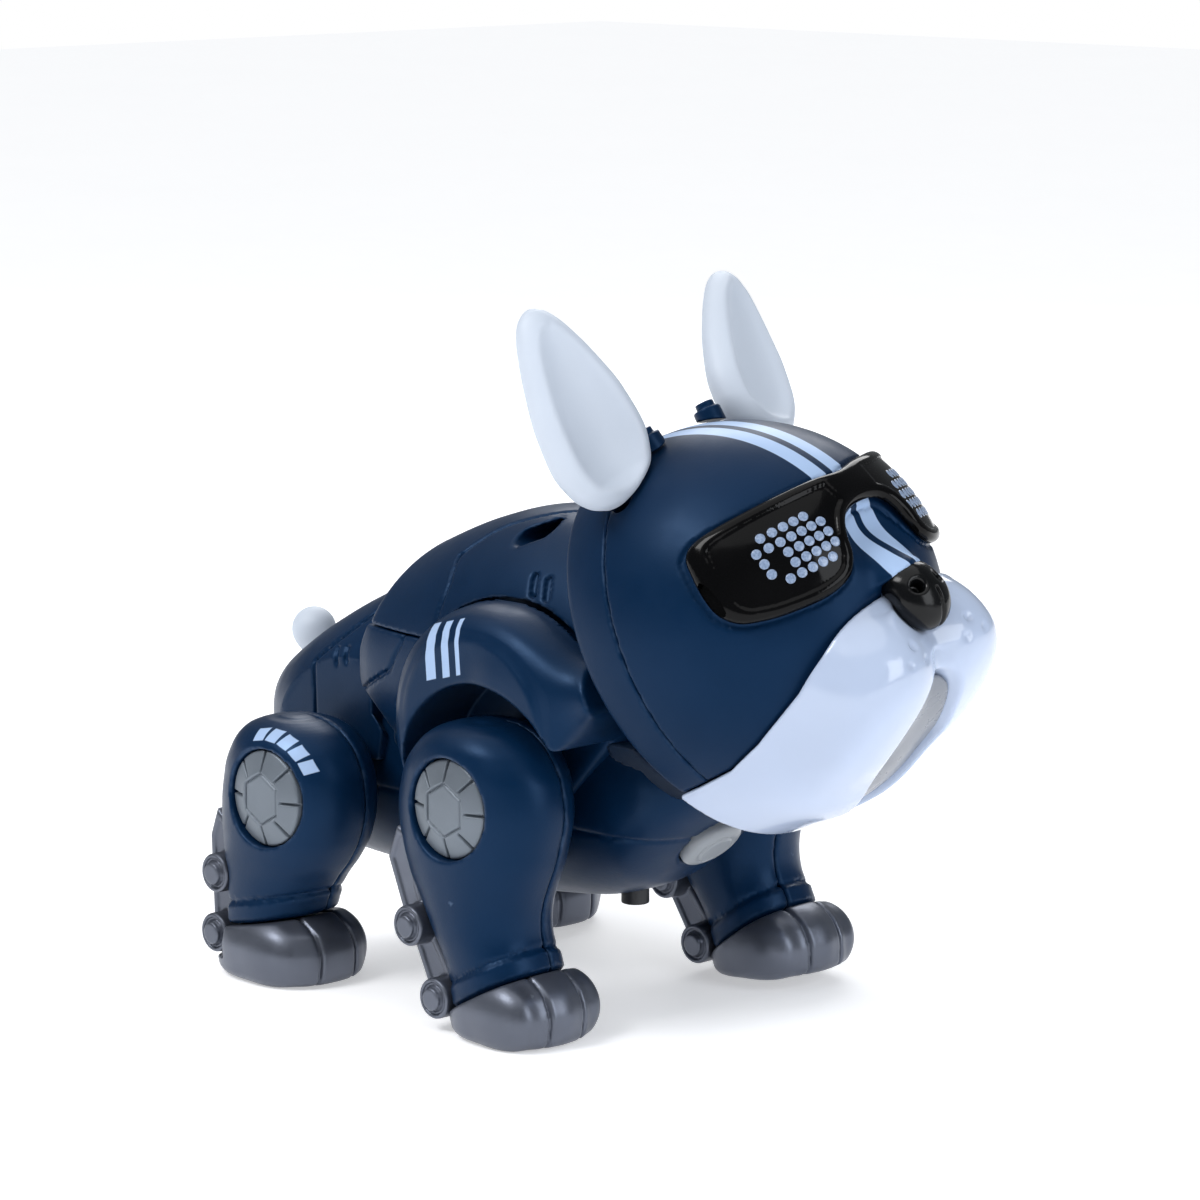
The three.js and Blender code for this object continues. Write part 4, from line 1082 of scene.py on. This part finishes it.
def outer_shell(leg):
    def field(P):
        f, end = cuffed(P, leg)
        f = keep(f, P[1] + SPLIT_Y, r=0.7)
        f = cut(f, strut_room(P, leg, 0.6), r=0.5)
        hip = hip_round(P, leg["hip"], DISC_R + 0.35)
        f = cut(f, np.maximum(hip, P[1] + 56.0), r=0.8)
        f = groove(f, end + 6.6, 0.6, 0.6)
        return f
    return field


def inner_shell(leg):
    def field(P):
        f, end = cuffed(P, leg)
        f = keep(f, -INNER_SPLIT_Y - P[1], r=0.7)
        f = cut(f, hip_round(P, leg["hip"], 5.9), r=0.3)
        f = cut(f, strut_room(P, leg, 0.6), r=0.5)
        f = groove(f, end + 6.6, 0.6, 0.6)
        return f
    return field


def hip_disc(leg):
    hx, hz = leg["hip"]

    def field(P):
        x, z = P[0] - hx, P[2] - hz
        r = np.sqrt(x * x + z * z)
        angle = np.arctan2(z, x)
        height = DISC_FACE + DISC_DOME * np.clip((13.0 - r) / 6.0, 0, 1)
        # a six-sided flat in the middle, with a fine line round it
        sector = (angle + math.pi / 6) % (math.pi / 3) - math.pi / 6
        flats = r * np.cos(sector)
        height = np.where(flats < DISC_HEX, DISC_HEX_FACE, height)
        height = height - 0.9 * np.clip(1.2 - np.abs(flats - 6.2) / 0.3, 0, 1)
        # eight radial cuts, a little wider towards the rim
        step = (angle + math.pi / 8) % (math.pi / 4) - math.pi / 8
        radial = np.maximum(np.abs(r * np.sin(step)) - 0.028 * r, DISC_CUTS_FROM - r)
        height = height - 1.4 * np.clip(0.5 - radial / 0.25, 0, 1)
        f = smooth_max(r - DISC_R, -P[1] - height, 0.6)
        return np.maximum(f, P[1] + DISC_BACK)
    return field


def strut(leg):
    def field(P):
        P = either_side(P, leg)
        shape = outline(P[0], P[2], leg["strut"])
        f = smooth_max(shape, np.maximum(-STRUT_FACE - P[1], P[1] + STRUT_BACK), 1.2)
        f = smooth_max(f, -np.maximum(shape + 2.2, P[1] + STRUT_FACE - 0.6), 0.5)
        for x, z in leg["bosses"]:
            r = hip_round(P, (x, z), 0)
            boss = smooth_max(r - BOSS_R, np.maximum(-BOSS_FACE - P[1], P[1] + STRUT_BACK), 0.9)
            boss = smooth_max(boss, -np.maximum(np.abs(r - 3.9) - 0.4, P[1] + BOSS_FACE - 0.7), 0.35)
            cap = smooth_max(r - CAP_R, np.maximum(-BOSS_FACE - 1.2 - P[1], P[1] + 50), 0.7)
            f = smooth_min(f, np.minimum(boss, cap), 0.6)
        return f
    return field


def foot(leg):
    cx, gap_y = leg["toes"]

    def field(P):
        f = leg_loft(P, leg, "foot", 2.4)
        end = half(P, *leg["cuff"])
        # three toes
        for k, reach in ((-1, 5.4), (0, 7.6), (1, 5.4)):
            toe = ellipsoid(P, (cx + reach, leg["y"] + k * TOE_PITCH, 8.2), TOE_RADII)
            f = smooth_min(f, toe, 1.8)
        f = keep(f, -(end - 0.35), r=0.8)
        for y in (leg["y"] - gap_y, leg["y"] + gap_y):
            f = groove(f, P[1] - y + 60 * (P[0] < cx - 2), 0.8, 1.3, 0.9)
        f = cut(f, strut_room(P, leg, 0.6), r=0.5)
        f = keep(f, -P[2], r=0.8)
        return f
    return field


LEG_MATERIALS = {
    "outer_shell": (navy, "navy_plastic"), "inner_shell": (navy, "navy_plastic"),
    "hip_disc": (disc_grey, "disc_grey"), "strut": (gunmetal, "gunmetal_plastic"),
    "foot": (gunmetal, "gunmetal_plastic"),
}


def leg_pieces():
    for end, leg in (("front", FRONT_LEG), ("rear", REAR_LEG)):
        hx, hz = leg["hip"]
        xs = [s[1] for s in leg["shell"]]
        lo_x, hi_x = min(xs) - 30, max(xs) + 26
        foot_x = leg["foot"][3][1]
        parts = {
            "outer_shell": (outer_shell(leg), (lo_x, -64, 3), (hi_x, -42, 85), None),
            "inner_shell": (inner_shell(leg), (lo_x, -44, 3), (hi_x, -27, 85), 0.8),
            "hip_disc": (hip_disc(leg), (hx - 14, -65, hz - 14), (hx + 14, -56, hz + 14), 0.3),
            "strut": (strut(leg), (lo_x - 6, -63, 2), (lo_x + 36, -29, 55), 0.4),
            "foot": (foot(leg), (foot_x - 26, -67, -1), (foot_x + 28, -25, 24), 0.5),
        }
        for part, (func, lo, hi, step) in parts.items():
            material, slot = LEG_MATERIALS[part]
            if end == "rear" and part == "outer_shell":
                material = navy_thigh
            p, q = largest(*surface(func, lo, hi, step))
            name = f"{end}_right_{part}"
            make("look_" + name, place(p), q, material, f"{end}_right_leg", (name,))
            mp, mq = mirrored(p, q)
            if end == "front":
                mp = swung(mp, leg["hip"], LEFT_FRONT_SWING)
            name = f"{end}_left_{part}"
            make("look_" + name, place(mp), mq, material, f"{end}_left_leg", (name,))


trunk_pieces()
head_pieces()
led_dots(-1)
led_dots(1)
leg_pieces()

# ------------------------------------------------------------------ CAD pieces that stay as they are
KEPT = {
    "battery_box": dark_plastic, "gearbox": dark_plastic, "rear_axle_block": dark_plastic,
    "speaker": dark_plastic,
    "neck_shaft": dark_plastic, "battery_1": cell_wrap, "battery_2": cell_wrap, "battery_3": cell_wrap,
    "drive_motor": steel, "battery_cover_screw": steel, "main_circuit_board": board_green,
    "led_board_right": board_green, "led_board_left": board_green,
}
for node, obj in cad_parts.items():
    material = KEPT.get(node)
    if node.endswith("_hip_shaft"):
        material = steel
    if material:
        if not obj.data.materials:
            obj.data.materials.append(material)
        for k in range(len(obj.data.materials)):
            obj.data.materials[k] = material

# ------------------------------------------------------------------ floor, light and camera
bpy.ops.mesh.primitive_grid_add(x_subdivisions=8, y_subdivisions=8, size=8)
floor = bpy.context.object
floor.name = "floor"
floor_mat, floor_tree, floor_bsdf = shader("floor_paper")
n = Nodes(floor_tree)
floor_tone = n.mix(n.noise(6, 3), colour(246, 247, 249), colour(250, 250, 252))
n.link(floor_tone, floor_bsdf.inputs["Base Color"])
n.link(n.remap(n.noise(40, 3), 0.3, 0.7, 0.7, 0.85), floor_bsdf.inputs["Roughness"])
floor_bsdf.inputs["Emission Color"].default_value = (1, 1, 1, 1)
floor_bsdf.inputs["Emission Strength"].default_value = 0.42
floor.data.materials.append(floor_mat)

world = bpy.data.worlds.new("studio")
bpy.context.scene.world = world
world.use_nodes = True
wt = world.node_tree
back = wt.nodes["Background"]
back.inputs["Color"].default_value = (0.90, 0.95, 1.0, 1)
back.inputs["Strength"].default_value = 0.2
seen = wt.nodes.new("ShaderNodeBackground")
seen.inputs["Color"].default_value = (1, 1, 1, 1)
seen.inputs["Strength"].default_value = 1.0
rays = wt.nodes.new("ShaderNodeLightPath")
pick = wt.nodes.new("ShaderNodeMixShader")
wt.links.new(rays.outputs["Is Camera Ray"], pick.inputs[0])
wt.links.new(back.outputs[0], pick.inputs[1])
wt.links.new(seen.outputs[0], pick.inputs[2])
wt.links.new(pick.outputs[0], wt.nodes["World Output"].inputs[0])


def softbox(name, at, towards, size, power, tint=(1, 1, 1)):
    data = bpy.data.lights.new(name, "AREA")
    data.shape = "RECTANGLE"
    data.size, data.size_y = size
    data.energy = power
    data.color = tint
    obj = bpy.data.objects.new(name, data)
    bpy.context.collection.objects.link(obj)
    obj.location = at
    obj.rotation_euler = (Vector(towards) - Vector(at)).to_track_quat("-Z", "Y").to_euler()


softbox("key", (-0.25, -0.95, 1.15), (0, 0, 0.09), (0.6, 0.45), 9)
softbox("fill", (1.3, 0.05, 0.6), (0, 0, 0.09), (0.7, 0.9), 7, (0.93, 0.96, 1))
softbox("rim", (-0.7, 0.9, 0.9), (0, 0, 0.1), (0.8, 0.6), 6)
sun = bpy.data.lights.new("overhead", "SUN")
sun.energy = 1.3
sun.angle = math.radians(80)
overhead = bpy.data.objects.new("overhead", sun)
bpy.context.collection.objects.link(overhead)
overhead.rotation_euler = (math.radians(12), math.radians(-8), 0)
bpy.context.scene.view_settings.view_transform = "Standard"

TARGET = Vector((25 + OFFSET_X, -32.5, 80)) * MM
BACKWARD = Vector((0.69636, -0.69636, 0.17365))
UPWARD = Vector((-0.12279, 0.12279, 0.98481))
RIGHTWARD = Vector((0.70711, 0.70711, 0))
DISTANCE = 1.171875
camera_data = bpy.data.cameras.new("camera")
camera_data.lens = 135
camera_data.sensor_width = 36
camera_data.clip_start = 0.05
camera = bpy.data.objects.new("camera", camera_data)
bpy.context.collection.objects.link(camera)
spot = TARGET + DISTANCE * (BACKWARD + 0.03111 * UPWARD)
facing = Matrix((RIGHTWARD, UPWARD, BACKWARD)).transposed().to_4x4()
camera.matrix_world = Matrix.Translation(spot) @ facing
bpy.context.scene.camera = camera
